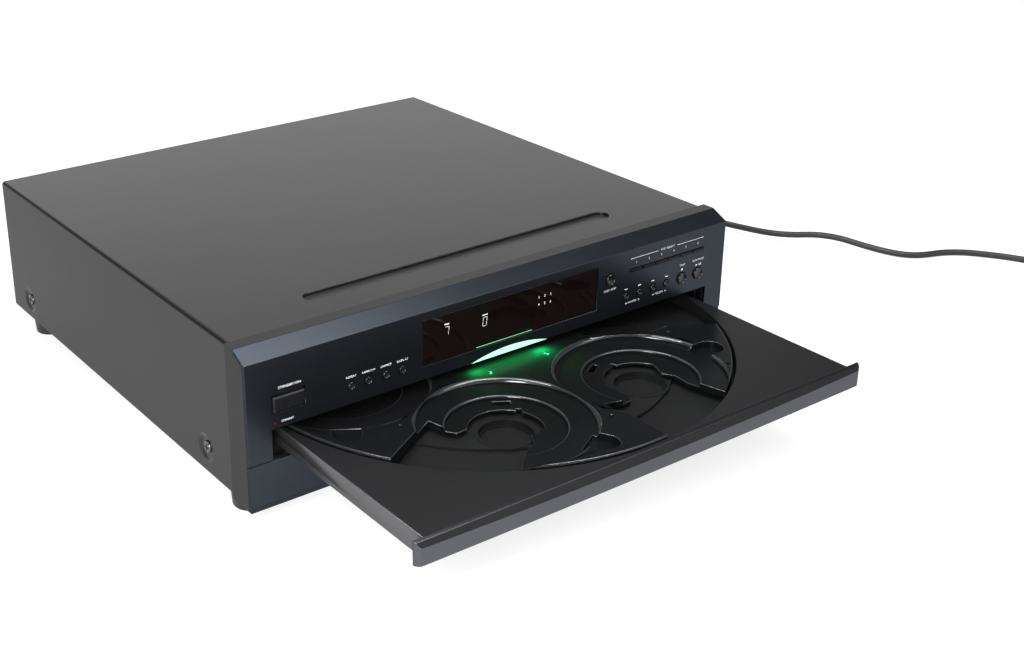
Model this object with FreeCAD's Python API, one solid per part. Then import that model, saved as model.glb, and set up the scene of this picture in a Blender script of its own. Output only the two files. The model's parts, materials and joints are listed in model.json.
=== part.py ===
import FreeCAD, Part
import math
import os

from FreeCAD import Vector

# A six-disc changer: a full-width steel cabinet with a drawer, on the drawer a turning table with six
# disc wells, and behind it a pickup deck that lifts through the table's cut-out to clamp and play a disc.
# Millimetres, +Z up, X to the right seen from the front, Y to the rear. While it is built, y = 0 is the
# fascia's front face and z = 0 the surface the feet stand on. The stored pose has the drawer open.

# ---- cabinet ----
fascia_side = 18.5              # the panel beside the slot at each end
overall_height = 131.0
foot_height = 15.0
rear_room = 35.0                # the shut tray's rear to the cover's rear edge
frame_depth = 24.8              # how deep the moulded frame behind the fascia is
cover_inset = 2.2               # the panel stands this far proud of the cover on each side
cover_drop = 1.0                # and this far above it
cover_sheet = 1.0
cover_corner = 3.0
cover_lift = 17.5               # height of the cover's lower edge
chassis_sheet = 1.2
chassis_flange = 26.0           # height of the pan's side walls
rear_inset = 2.8                # rear panel's face from the cover's rear edge
running_gap = 0.3               # clearance between pieces that pass each other

# ---- fascia and chin ----
fascia_sheet = 2.5
bevel_rise = 6.8                # height of the part where the fascia leans back
bevel_back = 13.9               # how far back the bevel reaches at the top
seam_height = 50.6              # joint between fascia and chin, the slot's lower edge
seam_groove = 0.6
chin_inset = 0.6
chin_out = 3.9                  # how far the chin's lower edge stands forward
chin_low = 22.6
chin_foot = 16.2                # lowest edge of the front
slot_side = 3.4                 # slot's end beyond the end of the drawer's front
slot_top = 73.0
frame_wall = 2.5
web_sheet = 2.0                 # the frame's inner plate, right behind the fascia

# ---- display and lamp ----
window_mode_gap = 17.0          # window's left edge from the last mode button's middle
window_skip_gap = 12.7          # window's right edge from the skip button's middle
window_seat = 10.0              # window's lower edge above the slot
window_drop = 13.0              # window's upper edge below the panel's top
window_gap = 0.2
lamp_half = 34.8
lamp_rise = 4.8
tube_width = 126.0
tube_height = 22.0
tube_depth = 5.0

# ---- buttons ----
button_gap = 0.35
button_travel = 0.8
button_collar = 1.0             # how far a button's flange reaches beyond its cap
power_side = 18.8               # from the panel's end
power_width = 25.7
power_seat = 11.2               # above the slot
power_rise = 13.8
power_slack = 2.0               # the wider gap above the power button
mode_steps = [36.1, 50.0, 64.4, 78.0]       # from the power button's right edge
mode_seat = 13.5                # above the slot
mode_radius = 3.0
skip_step = 93.2                # skip button to the left of the play button
skip_drop = 26.2                # below the panel's top
skip_radius = 4.6
track_steps = [76.2, 62.3, 48.2, 33.9]      # to the left of the play button
track_radius = 2.7
stop_step = 17.3                # to the left of the play button
play_side = 28.6                # from the panel's end
play_seat = 14.0                # above the slot
stop_radius = 4.7
key_slot_width = 79.0
key_slot_reach = 5.5            # slot's right end beyond the play button's middle
key_seat = 33.85                # above the slot
key_slot_rise = 2.9
key_count = 6
key_split = 0.8
standby_step = 1.9              # from the power button's left edge
standby_seat = 4.3              # above the slot
standby_radius = 1.3
board_y = 12.0                  # face of the front circuit board
board_sheet = 1.6
board_side = 10.0               # the board's end from the frame's end wall

# ---- drawer ----
drawer_travel = 157.6
front_overhang = 8.6            # the front beyond the tray on each side
front_sheet = 5.8
front_rise = 15.8
front_slope = 0.9               # the front's top rises this much to the back
front_corner = 3.5
slot_clearance = 1.0            # between the slot's lower edge and the drawer
tray_rim = 1.7                  # tray's side beyond the table's recess
tray_rise = 14.8
tray_back_rim = 5.9             # tray's rear beyond the table's edge
tray_wall = 2.2
tray_skin = 2.2
table_gap = 2.3                 # radial gap round the disc table
floor_step_radius = 142.0
floor_sheet = 2.0
inner_floor_drop = 9.0          # tray top down to the raised middle of the floor
outer_floor_drop = 11.0
cup_radius = 18.9
cup_step_radius = 17.7
cup_step_drop = 3.6
cup_skin = 1.0
cup_wall = 1.6
lug_reach = 4.0
lug_rise = 4.0
lug_length = 150.0

# ---- disc table ----
table_radius = 183.0
table_front_gap = 3.3           # table's edge to the drawer front's back
table_rise = 1.0                # table's land above the tray's top
well_count = 6
well_pitch_radius = 122.4
well_radius = 60.4
well_taper = 0.6
ledge_drop = 3.0
inner_radius = 41.2
inner_drop = 5.8
plate_sheet = 2.0
hub_hole_radius = 26.0
pocket_radius = 10.0
pocket_reach = 68.5
pocket_turn = 59.5
pocket_drop = 5.0
pin_radius = 1.4
pin_rise = 1.4
pin_pitch_radius = 141.5
rim_round = 0.8
hub_radius = 15.0
hub_rise = 2.0
post_radius = 6.0
post_clearance = 0.07
gear_module = 1.5
ring_teeth = 80
pinion_teeth = 16
backlash = 0.5
ring_rise = 4.0
pinion_direction = 45.0         # degrees from +X, seen from the table's axis

# ---- drawer drive ----
rack_x = 127.5                  # pitch line of the drawer's rack
rack_rise = 4.6
loading_teeth = 24
loading_step = 27.4             # loading gear's shaft in front of the open tray's rear
pulley_ratio = 2.5
loading_pulley_radius = 12.1
belt_radius = 0.6               # half the flat belt's thickness and height
belt_groove = 1.0
motor_spacing = 40.0

# ---- pickup deck ----
disc_lift = 4.9                 # how far above its ledge a disc is played
platter_room = 2.4              # platter's seat below the tray's underside while lowered
deck_half_width = 34.0
deck_offset = 9.2               # deck's centre to the right of the spindle
deck_front = 21.0
deck_back = 66.0
deck_sheet = 2.5
spindle_radius = 14.5
rod_radius = 1.5
rod_spacing = 15.0
screw_radius = 1.3
sled_inner = 24.0               # lens to spindle at the start of the disc
sled_travel = 31.0
lens_radius = 3.5
guide_pin_radius = 2.0
guide_gap = 0.3
cam_travel = 30.0
clamper_radius = 16.5
clamper_flange = 20.0
bridge_low = 76.0
disc_thickness = 1.2

# ---- rear ----
jack_height = 60.0
jack_radius = 4.15
jack_length = 9.0
audio_xs = [-124.0, -106.0]
remote_xs = [-46.0, -30.0]
optical_x = -76.0

# ---- mains lead ----
lead_diameter = 6.0
gland_x = 165.0
gland_z = 46.0
gland_tail = 25.0

# ---- worked out from the above ----
table_room = table_radius + table_gap
tray_half = table_room + tray_rim
front_half = tray_half + front_overhang
slot_half = front_half + slot_side
panel_half = slot_half + fascia_side
bevel_low = overall_height - bevel_rise
cover_half = panel_half - cover_inset
cover_top = overall_height - cover_drop
cover_in = cover_half - cover_sheet
front_face = -drawer_travel
front_back = front_face + front_sheet
tray_rear = front_back + table_front_gap + 2 * table_radius + tray_back_rim
cover_rear = tray_rear + drawer_travel + rear_room
rear_face = cover_rear - rear_inset
rear_front = rear_face - chassis_sheet
dimple_depth = 2.1
flange_out = cover_in - dimple_depth
floor_top = foot_height + chassis_sheet
power_left = -panel_half + power_side
power_right = power_left + power_width
power_low = slot_top + power_seat
power_high = power_low + power_rise
standby_x = power_left + standby_step
standby_height = slot_top + standby_seat
mode_xs = [power_right + step for step in mode_steps]
mode_height = slot_top + mode_seat
play_x = panel_half - play_side
stop_x = play_x - stop_step
stop_height = slot_top + play_seat
track_xs = [play_x - step for step in track_steps]
track_height = stop_height
skip_x = play_x - skip_step
skip_height = overall_height - skip_drop
key_slot_right = play_x + key_slot_reach
key_slot_left = key_slot_right - key_slot_width
key_height = slot_top + key_seat
window_left = mode_xs[-1] + window_mode_gap
window_right = skip_x - window_skip_gap
window_low = slot_top + window_seat
window_high = overall_height - window_drop
window_mid = (window_left + window_right) / 2
tray_low = seam_height + slot_clearance
tray_top = tray_low + tray_rise
table_y = front_back + table_front_gap + table_radius
land = tray_top + table_rise
ledge = land - ledge_drop
inner_top = land - inner_drop
plate_low = inner_top - plate_sheet
inner_floor = tray_top - inner_floor_drop
outer_floor = tray_top - outer_floor_drop
recess_radius = table_room
rail_web = tray_half + lug_reach + 0.4
ring_radius = gear_module * ring_teeth / 2
pinion_radius = gear_module * pinion_teeth / 2
gear_floor = inner_floor - 3.0
loading_radius = gear_module * loading_teeth / 2
loading_x = rack_x + loading_radius
loading_y = tray_rear - loading_step
rack_low = tray_low - rack_rise - 0.6
# the spindle stands under the rear left well when the drawer is closed
spindle_x = -well_pitch_radius * math.sin(math.radians(30))
spindle_y = table_y + drawer_travel + well_pitch_radius * math.cos(math.radians(30))
deck_x = spindle_x + deck_offset
spindle_top = tray_low - platter_room
lift_travel = ledge + disc_lift - spindle_top
deck_top = spindle_top - 10.7
pin_z = deck_top - 9.0
jack_end = rear_face + jack_length
origin_y = (front_face + jack_end) / 2

FORWARD = Vector(0, 1, 0)
UP = Vector(0, 0, 1)
SIDE = Vector(1, 0, 0)
shapes = {}


def box(x0, x1, y0, y1, z0, z1):
    return Part.makeBox(x1 - x0, y1 - y0, z1 - z0, Vector(x0, y0, z0))


def disc(radius, x, y, z0, z1):
    return Part.makeCylinder(radius, z1 - z0, Vector(x, y, z0), UP)


def bar(radius, x, z, y0, y1):
    return Part.makeCylinder(radius, y1 - y0, Vector(x, y0, z), FORWARD)


def cross_bar(radius, y, z, x0, x1):
    return Part.makeCylinder(radius, x1 - x0, Vector(x0, y, z), SIDE)


def prism(points, along):
    wire = Part.makePolygon(points + [points[0]])
    return Part.Face(wire).extrude(along)


def side_profile(points, x0, x1):
    """A profile of (y, z) points, extruded from x0 to x1."""
    return prism([Vector(x0, y, z) for y, z in points], Vector(x1 - x0, 0, 0))


def front_profile(points, y0, y1):
    """A profile of (x, z) points, extruded from y0 to y1."""
    return prism([Vector(x, y0, z) for x, z in points], Vector(0, y1 - y0, 0))


def plan(points, z0, z1):
    """A profile of (x, y) points, extruded from z0 to z1."""
    return prism([Vector(x, y, z0) for x, y in points], Vector(0, 0, z1 - z0))


def stadium(x0, x1, y, radius, z0, z1):
    """An upright slot shape with round ends, lying along X."""
    body = box(x0, x1, y - radius, y + radius, z0, z1)
    return body.fuse([disc(radius, x0, y, z0, z1), disc(radius, x1, y, z0, z1)]).removeSplitter()


def polar(centre_x, centre_y, radius, degrees):
    """A point by its angle from the front (-Y), positive towards +X."""
    turn = math.radians(degrees)
    return centre_x + radius * math.sin(turn), centre_y - radius * math.cos(turn)


def turned(shape, degrees, x, y):
    result = shape.copy()
    result.rotate(Vector(x, y, 0), UP, degrees)
    return result


def keep(name, shape):
    """Puts a finished piece in the frame whose origin is below the middle of the stored object."""
    result = shape.copy()
    result.translate(Vector(0, -origin_y, 0))
    shapes[name] = result


# ---- gears ----
def involute_flank(base_radius, start_radius, tip_radius, half_angle, steps):
    """(radius, angle) points up one flank of a tooth that is centred on angle 0."""
    points = []
    for step in range(steps):
        radius = start_radius + (tip_radius - start_radius) * step / (steps - 1)
        reach = max(radius, base_radius)
        roll = math.sqrt((reach / base_radius) ** 2 - 1)
        points.append((radius, half_angle - (roll - math.atan(roll))))
    return points


def gear_plan(teeth, module, steps, tip_share=0.9):
    pitch_radius = module * teeth / 2
    pressure = math.radians(20)
    base_radius = pitch_radius * math.cos(pressure)
    spread = math.tan(pressure) - pressure
    half_angle = (math.pi * module / 2 - backlash) / (2 * pitch_radius) + spread
    tip_radius = pitch_radius + tip_share * module
    root_radius = pitch_radius - 1.15 * module
    flank = involute_flank(base_radius, root_radius, tip_radius, half_angle, steps)
    points = []
    for tooth in range(teeth):
        middle = 2 * math.pi * tooth / teeth
        for radius, angle in flank:
            points.append((radius * math.cos(middle - angle), radius * math.sin(middle - angle)))
        for radius, angle in reversed(flank):
            points.append((radius * math.cos(middle + angle), radius * math.sin(middle + angle)))
    return points


def spur_gear(teeth, module, steps, x, y, z0, z1, degrees):
    gear = plan(gear_plan(teeth, module, steps), z0, z1)
    gear.rotate(Vector(0, 0, 0), UP, degrees)
    gear.translate(Vector(x, y, 0))
    return gear


def rack_teeth(pitch_x, y_mesh, y0, y1, z0, z1):
    """Rack teeth pointing to +X, with one tooth centred on y_mesh."""
    pitch = math.pi * gear_module
    lean = math.tan(math.radians(20))
    tip = pitch_x + 0.9 * gear_module
    root = pitch_x - 1.15 * gear_module
    half = (pitch / 2 - backlash) / 2
    first = math.ceil((y0 - y_mesh) / pitch)
    last = math.floor((y1 - y_mesh) / pitch)
    points = [(root - 2.5, y0), (root, y0)]
    for index in range(first, last + 1):
        middle = y_mesh + index * pitch
        foot = half + (pitch_x - root) * lean
        crest = half - (tip - pitch_x) * lean
        points += [(root, middle - foot), (tip, middle - crest), (tip, middle + crest), (root, middle + foot)]
    points += [(root, y1), (root - 2.5, y1)]
    return plan(points, z0, z1)


# ---- cabinet shell ----
screw_seats = [(frame_depth + 39.7, 36.0), (cover_rear - 37.0, 34.0)]       # (y, z) of the side screws
rear_screw_xs = [-panel_half + 37.5, 0.0, panel_half - 37.5]


def make_chassis():
    low = foot_height
    y0 = frame_depth
    pan = box(-flange_out, flange_out, y0, rear_front, low, floor_top)
    wall_top = low + chassis_flange
    for side in (-1, 1):
        edge = side * flange_out
        inner = edge - side * chassis_sheet
        pan = pan.fuse(box(min(edge, inner), max(edge, inner), y0, rear_front, low, wall_top))
    front = box(-flange_out, flange_out, y0, y0 + chassis_sheet, low, tray_low - 2.4)
    rear = box(-flange_out, flange_out, rear_front - chassis_sheet, rear_front, low, low + 12.0)
    pan = pan.fuse([front, rear])
    cuts = []
    for row in range(3):
        for column in range(5):
            x = -panel_half + 57.5 + column * 22.0
            y = 96.0 + row * 52.0
            cuts.append(box(x, x + 4.0, y, y + 36.0, low - 1, floor_top + 1))
    for y, z in screw_seats:
        for side in (-1, 1):
            cuts.append(cross_bar(1.9, y, z, side * flange_out - 2, side * flange_out + 2))
    return pan.cut(cuts).removeSplitter()


def foot_places():
    out = panel_half - 21.0
    return [(x, y) for y in (frame_depth + 12.7, cover_rear - 32.0) for x in (-out, out)]


def make_feet():
    feet = []
    for x, y in foot_places():
        body = Part.makeCone(13.2, 14.5, foot_height, Vector(x, y, 0), UP)
        feet.append(body.cut(disc(8.0, x, y, -1, 4.0)))
    return Part.makeCompound(feet)


def rounded_channel(half, top, low, radius, y0, y1):
    """A solid with upright sides and round upper corners, along Y."""
    body = box(-half, half, y0, y1, low, top)
    edges = [e for e in body.Edges if abs(e.BoundBox.YLength - (y1 - y0)) < 1e-6
             and e.BoundBox.ZMin > top - 1e-6]
    return body.makeFillet(radius, edges)


def make_cover():
    outer = rounded_channel(cover_half, cover_top, cover_lift, cover_corner, frame_depth, cover_rear)
    inner = rounded_channel(cover_in, cover_top - cover_sheet, cover_lift - 5, cover_corner - cover_sheet,
                            frame_depth - 5, cover_rear + 5)
    shell = outer.cut(inner)
    lip = box(-cover_in + 12, cover_in - 12, rear_face, rear_face + cover_sheet, cover_top - 11,
              cover_top - 0.5)
    # the long pressed bead just behind the panel
    bead_y = frame_depth + 32.2
    bead_left = -panel_half + 87.5
    bead_right = panel_half - 81.5
    bead_radius = 7.0
    bead_depth = 1.0
    floor = stadium(bead_left, bead_right, bead_y, bead_radius + 0.2,
                    cover_top - cover_sheet - bead_depth, cover_top - 0.3)
    press = stadium(bead_left, bead_right, bead_y, bead_radius, cover_top - bead_depth, cover_top + 1)
    shell = shell.fuse([lip, floor])
    cuts = [press]
    for y, z in screw_seats:
        for side in (-1, 1):
            skin = side * cover_half
            seat = Part.makeCone(8.7, 5.6, dimple_depth, Vector(skin, y, z), Vector(-side, 0, 0))
            back = Part.makeCone(9.6, 6.6, dimple_depth + cover_sheet - 0.1, Vector(skin - side * 0.1, y, z),
                                 Vector(-side, 0, 0))
            shell = shell.fuse(back)
            cuts.append(seat)
            cuts.append(cross_bar(1.9, y, z, min(skin, skin - side * 6), max(skin, skin - side * 6)))
    for x in rear_screw_xs:
        cuts.append(bar(1.9, x, cover_top - 6.5, rear_face - 2, rear_face + 3))
    return shell.cut(cuts).removeSplitter()


def pan_screw(length):
    """A plain cheese-head screw along +X, the underside of its head at x = 0."""
    head = Part.makeCylinder(3.5, 1.8, Vector(-1.8, 0, 0), SIDE)
    return head.fuse(Part.makeCylinder(1.6, length, Vector(0, 0, 0), SIDE))


def make_cover_screws():
    screws = []
    seat = cover_half - dimple_depth
    for y, z in screw_seats:
        left = pan_screw(5.0)
        left.translate(Vector(-seat, y, z))
        right = pan_screw(5.0)
        right.rotate(Vector(0, 0, 0), UP, 180)
        right.translate(Vector(seat, y, z))
        screws += [left, right]
    for x in rear_screw_xs:
        rear = pan_screw(5.0)
        rear.rotate(Vector(0, 0, 0), UP, -90)
        rear.translate(Vector(x, rear_face + cover_sheet, cover_top - 6.5))
        screws.append(rear)
    return Part.makeCompound(screws)


def make_rear_panel():
    top = cover_top - cover_sheet
    plate = box(-flange_out, flange_out, rear_front, rear_face, foot_height, top)
    cuts = [bar(jack_radius + 0.4, x, jack_height, rear_front - 1, rear_face + 1) for x in audio_xs]
    cuts += [bar(3.2, x, jack_height, rear_front - 1, rear_face + 1) for x in remote_xs]
    cuts.append(box(optical_x - 5.2, optical_x + 5.2, rear_front - 1, rear_face + 1, jack_height - 5.2,
                    jack_height + 5.2))
    cuts.append(box(gland_x - 5.6, gland_x + 5.6, rear_front - 1, rear_face + 1, gland_z - 5.6,
                    gland_z + 5.6))
    for row in range(4):
        for column in range(5):
            x = 30.0 + column * 22.0
            z = 86.0 + row * 8.0
            cuts.append(box(x, x + 18.0, rear_front - 1, rear_face + 1, z, z + 3.0))
    for x in rear_screw_xs:
        cuts.append(bar(1.9, x, cover_top - 6.5, rear_front - 1, rear_face + 1))
    return plate.cut(cuts)


# ---- front ----
def fascia_outline(inset):
    """(y, z) points of the fascia's face, bevel and top edge, set in by a sheet's thickness."""
    lean = math.atan2(bevel_back, overall_height - bevel_low)
    low = bevel_low - inset * math.tan(lean / 2)
    back = bevel_back
    top = overall_height - inset / math.sin(lean)
    return (inset, low), (back, top)


def make_fascia():
    low, back = fascia_outline(fascia_sheet)
    points = [(0, seam_height), (0, bevel_low), (bevel_back, overall_height), back, low,
              (fascia_sheet, seam_height)]
    plate = side_profile(points, -panel_half, panel_half)
    return plate.cut(front_openings(-1, fascia_sheet + 1, 0)).removeSplitter()


def lamp_shape(y0, y1, grow):
    """The crescent above the slot: a chord along the slot's edge and one long arc."""
    half = lamp_half + grow
    rise = lamp_rise + grow
    left = Vector(-half, y0, slot_top)
    right = Vector(half, y0, slot_top)
    arc = Part.Arc(left, Vector(0, y0, slot_top + rise), right).toShape()
    wire = Part.Wire([arc, Part.makeLine(right, left)])
    return Part.Face(wire).extrude(Vector(0, y1 - y0, 0))


def round_button_places():
    places = [(x, mode_height, mode_radius) for x in mode_xs]
    places.append((skip_x, skip_height, skip_radius))
    places += [(x, track_height, track_radius) for x in track_xs]
    places += [(stop_x, stop_height, stop_radius), (play_x, stop_height, stop_radius)]
    return places


def front_openings(y0, y1, grow):
    """Everything that is cut through the fascia, or a little larger and square through the frame's plate."""

    def hole(radius, x, z):
        half = radius + grow
        if grow:
            return box(x - half, x + half, y0, y1, z - half, z + half)
        return bar(radius + button_gap, x, z, y0, y1)

    cuts = [box(-slot_half - grow, slot_half + grow, y0, y1, seam_height - 20, slot_top + grow * 0.2)]
    cuts.append(lamp_shape(y0, y1, grow * 0.5))
    cuts.append(box(window_left - grow * 0.5, window_right + grow * 0.5, y0, y1, window_low, window_high))
    cuts.append(box(power_left - grow, power_right + grow, y0, y1, power_low - grow, power_high + grow))
    for x, z, radius in round_button_places():
        cuts.append(hole(radius, x, z))
    cuts.append(hole(standby_radius - button_gap, standby_x, standby_height))
    half = key_slot_rise / 2 + grow
    cuts.append(box(key_slot_left - grow, key_slot_right + grow, y0, y1, key_height - half,
                    key_height + half))
    return cuts


def make_chin():
    points = [(chin_inset, seam_height - seam_groove), (-chin_out, chin_low), (-0.4, chin_foot),
              (fascia_sheet, chin_foot), (fascia_sheet, seam_height - seam_groove)]
    return side_profile(points, -panel_half, panel_half)


def make_frame():
    """The moulding behind the fascia: end walls, top shelf, inner plate and lower ledge."""
    y0 = fascia_sheet
    low, back = fascia_outline(fascia_sheet)
    end = [(y0, chin_foot), low, back, (bevel_back, overall_height), (frame_depth, overall_height),
           (frame_depth, chin_foot)]
    body = side_profile(end, -panel_half, panel_half)
    shelf = 2.0
    cavity = [(y0 + web_sheet, chin_foot + shelf), (y0 + web_sheet, low[1] - 1.2),
              (back[0] + 1.0, back[1] - shelf),
              (frame_depth + 1, back[1] - shelf), (frame_depth + 1, chin_foot + shelf)]
    half = panel_half - frame_wall
    body = body.cut(side_profile(cavity, -half, half))
    body = body.cut(front_openings(y0 - 1, y0 + web_sheet + 0.5, button_collar + 0.4))
    # below the slot the inner plate stays closed behind the chin
    backing = box(-half, half, y0, y0 + web_sheet, chin_foot + shelf, seam_height - seam_groove)
    body = body.fuse(backing)
    # stiffening ribs; the upper two also carry the board
    ribs = []
    for x in (-panel_half + 9.5, panel_half - 11.5):
        ribs.append(box(x, x + 2.0, y0 + web_sheet, frame_depth, chin_foot + shelf, seam_height - 1.6))
    for x in (power_right + 13.0, window_right + 3.5):
        ribs.append(box(x, x + 1.6, y0 + web_sheet, board_y, window_low + 17.0, bevel_low - 3.2).cut(
            box(window_left - 2, window_right + 2, y0, frame_depth, window_low - 2, window_high + 2)))
    body = body.fuse([rib for rib in ribs if rib.Volume > 1])
    return body.removeSplitter()


def make_window():
    pane = box(window_left + window_gap, window_right - window_gap, 0.2, fascia_sheet,
               window_low + window_gap, window_high - window_gap)
    rim = box(window_left + 0.5, window_right - 0.5, fascia_sheet, fascia_sheet + 1.2, window_low,
              window_high)
    return pane.fuse(rim)


def make_standby_lamp():
    lens = bar(standby_radius, standby_x, standby_height, -0.3, fascia_sheet)
    half = standby_radius + 0.4
    return lens.fuse(box(standby_x - half, standby_x + half, fascia_sheet, 9.0,
                         standby_height - half, standby_height + half))


def make_tube():
    x0 = window_mid - tube_width / 2
    z0 = (window_low + window_high - tube_height) / 2
    body = box(x0, x0 + tube_width, board_y - tube_depth, board_y, z0, z0 + tube_height)
    edges = [e for e in body.Edges if e.BoundBox.YMax < board_y - tube_depth + 1e-6]
    return body.makeChamfer(1.0, edges)


def make_front_board():
    half = panel_half - frame_wall - board_side
    board = box(-half, half, board_y, board_y + board_sheet, slot_top + 6.0, bevel_low - 3.2)
    switches = []
    reach = button_travel + 0.3
    for x, z, radius in round_button_places():
        switches.append(box(x - 2.4, x + 2.4, board_y - 1.4 + reach - 0.8, board_y, z - 2.4, z + 2.4))
    for index in range(key_count):
        x = key_middle(index)
        switches.append(box(x - 2.4, x + 2.4, board_y - 1.4 + reach - 0.8, board_y, key_height - 2.4,
                            key_height + 2.4))
    power_x = (power_left + power_right) / 2
    power_z = (power_low + power_high - power_slack) / 2
    switches.append(box(power_x - 2.4, power_x + 2.4, board_y - 1.1, board_y, power_z - 2.4, power_z + 2.4))
    return board.fuse(switches).removeSplitter()


def stem_end():
    return board_y - 1.1 - button_travel - 0.3


def square_bar(half, x, z, y0, y1):
    return box(x - half, x + half, y0, y1, z - half, z + half)


def make_round_button(x, z, radius, proud):
    cap = bar(radius, x, z, -proud, fascia_sheet + 0.4)
    collar = square_bar(radius + button_collar, x, z, fascia_sheet + 0.3, fascia_sheet + 1.5)
    stem = square_bar(1.2, x, z, fascia_sheet + 1.0, stem_end())
    return cap.fuse([collar, stem]).removeSplitter()


def make_power_button():
    x0 = power_left + 0.9
    x1 = power_right - 0.4
    z0 = power_low + 0.4
    z1 = power_high - power_slack
    cap = box(x0, x1, -1.4, fascia_sheet + 0.4, z0, z1)
    cap = cap.makeChamfer(1.1, [e for e in cap.Edges if e.BoundBox.YMax < -1.4 + 1e-6])
    collar = box(x0 - 0.9, x1 + 0.7, fascia_sheet + 0.3, fascia_sheet + 1.5, z0 - 0.7, z1 + 1.4)
    middle_x = (power_left + power_right) / 2
    middle_z = (power_low + power_high - power_slack) / 2
    stem = square_bar(1.5, middle_x, middle_z, fascia_sheet + 1.0, stem_end())
    return cap.fuse([collar, stem]).removeSplitter()


def key_middle(index):
    return key_slot_left + (index + 0.5) * (key_slot_right - key_slot_left) / key_count


def make_key(index):
    half = (key_slot_right - key_slot_left) / key_count / 2 - key_split / 2
    rise = key_slot_rise / 2 - 0.3
    x = key_middle(index)
    cap = box(x - half, x + half, -0.6, fascia_sheet + 0.4, key_height - rise, key_height + rise)
    cap = cap.makeChamfer(0.35, [e for e in cap.Edges if e.BoundBox.YMax < -0.6 + 1e-6])
    collar = box(x - half, x + half, fascia_sheet + 0.3, fascia_sheet + 1.5, key_height - rise - 0.9,
                 key_height + rise + 0.9)
    stem = square_bar(1.0, x, key_height, fascia_sheet + 1.0, stem_end())
    return cap.fuse([collar, stem]).removeSplitter()


# ---- drawer ----
def make_drawer_front():
    low = tray_low - 0.2
    top = low + front_rise
    half = front_half
    points = [(front_face, low), (front_face, top), (front_back, top + front_slope), (front_back, low)]
    body = side_profile(points, -half, half)
    keepers = []
    for side in (-1, 1):
        corner = box(min(side * half, side * (half - front_corner)),
                     max(side * half, side * (half - front_corner)),
                     front_face - 1, front_back + 1, low - 1, low + front_corner)
        rounder = bar(front_corner, side * (half - front_corner), low + front_corner, front_face - 1,
                      front_back + 1)
        keepers.append(corner.cut(rounder))
    return body.cut(keepers).removeSplitter()


def make_tray():
    x, y = 0.0, table_y
    body = box(-tray_half, tray_half, front_back, tray_rear, tray_low, tray_top)
    # hollow from below, leaving the walls, the floors and a ring round the table's recess
    under = box(-tray_half + tray_wall, tray_half - tray_wall, front_back + tray_wall, tray_rear - tray_wall,
                tray_low - 1, tray_top - tray_skin)
    ring = disc(recess_radius + tray_wall, x, y, tray_low - 2, tray_top).cut(
        disc(recess_radius - 1.0, x, y, tray_low - 3, tray_top + 1))
    floor = disc(recess_radius, x, y, outer_floor - floor_sheet, tray_top)
    step = disc(floor_step_radius, x, y, outer_floor - floor_sheet, tray_top)
    under = under.cut([ring, floor, step])
    body = body.cut(under)
    # ribs below the floor
    ribs = []
    for angle in (45, 135, 225, 315):
        rib = box(70.0, recess_radius, -0.8, 0.8, tray_low, outer_floor - floor_sheet)
        rib.translate(Vector(x, y, 0))
        ribs.append(turned(rib, angle + 8, x, y))
    body = body.fuse(ribs)
    # the recess: a low outer floor, a raised middle, and a well for the ring gear
    body = body.cut(disc(recess_radius, x, y, outer_floor,
                         tray_top + 1).cut(disc(floor_step_radius, x, y, tray_low, inner_floor)))
    gear_well = ring_radius + 2 * pinion_radius + 4.0
    body = body.cut(disc(gear_well, x, y, gear_floor, tray_top + 1))
    # bearing post
    post = disc(10.0, x, y, gear_floor - floor_sheet,
                plate_low - 0.4).fuse(disc(post_radius, x, y, gear_floor, land + hub_rise))
    body = body.fuse(post).cut(disc(1.6, x, y, land - 12, land + 10))
    # finger cups below the two front wells
    for angle in (-30, 30):
        cx, cy = polar(x, y, well_pitch_radius, angle)
        body = body.fuse(disc(cup_radius + cup_wall, cx, cy, tray_low, inner_floor + 0.4))
        body = body.cut([disc(cup_radius, cx, cy, inner_floor - cup_step_drop, inner_floor + 2),
                         disc(cup_step_radius, cx, cy, tray_low + cup_skin, inner_floor)])
    # opening that the pickup deck rises through
    body = body.cut(deck_window(-drawer_travel, tray_low - 5, plate_low - 0.4))
    # seat for the table motor, and its shaft hole
    mx, my = pinion_place()
    body = body.cut(disc(3.4, mx, my, tray_low - 1, tray_top))
    # lugs that run in the side rails
    lug_low = tray_low + 3.4
    for side in (-1, 1):
        inner = side * (tray_half - 0.5)
        outer = side * (tray_half + lug_reach)
        body = body.fuse(box(min(inner, outer), max(inner, outer), tray_rear - lug_length, tray_rear,
                             lug_low, lug_low + lug_rise))
    # toothed rack for the loading gear
    rack = rack_teeth(rack_x, loading_y, rack_front(), rack_front() + drawer_travel + 22.0, rack_low,
                      rack_low + rack_rise)
    spine_out = rack_x - 1.15 * gear_module
    spine = box(spine_out - 5.0, spine_out - 0.01, rack_front(), rack_front() + drawer_travel + 22.0,
                rack_low, inner_floor - floor_sheet)
    spine = spine.cut(disc(recess_radius + 5, x, y, outer_floor - floor_sheet / 2, tray_top))
    body = body.fuse([rack, spine])
    return body.removeSplitter()


def rack_front():
    return loading_y - drawer_travel - 9.0


def deck_window(shift, z0, z1):
    """The space that the lift deck passes through, with the drawer moved by shift."""
    margin = 2.6
    return box(deck_x - deck_half_width - margin, deck_x + deck_half_width + margin,
               spindle_y - deck_front - margin + shift, spindle_y + deck_back + margin + shift, z0, z1)


def pinion_place():
    turn = math.radians(pinion_direction)
    reach = ring_radius + pinion_radius
    return reach * math.cos(turn), table_y + reach * math.sin(turn)


def make_table_motor():
    x, y = pinion_place()
    can = disc(12.0, x, y, tray_low - 20.0, tray_low)
    cap = disc(4.0, x, y, tray_low - 22.0, tray_low - 20.0)
    ears = box(x - 17.0, x + 17.0, y - 4.0, y + 4.0, tray_low - 1.6, tray_low)
    shaft = disc(1.0, x, y, tray_low, gear_floor + 4.8)
    return can.fuse([cap, ears, shaft]).removeSplitter()


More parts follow.
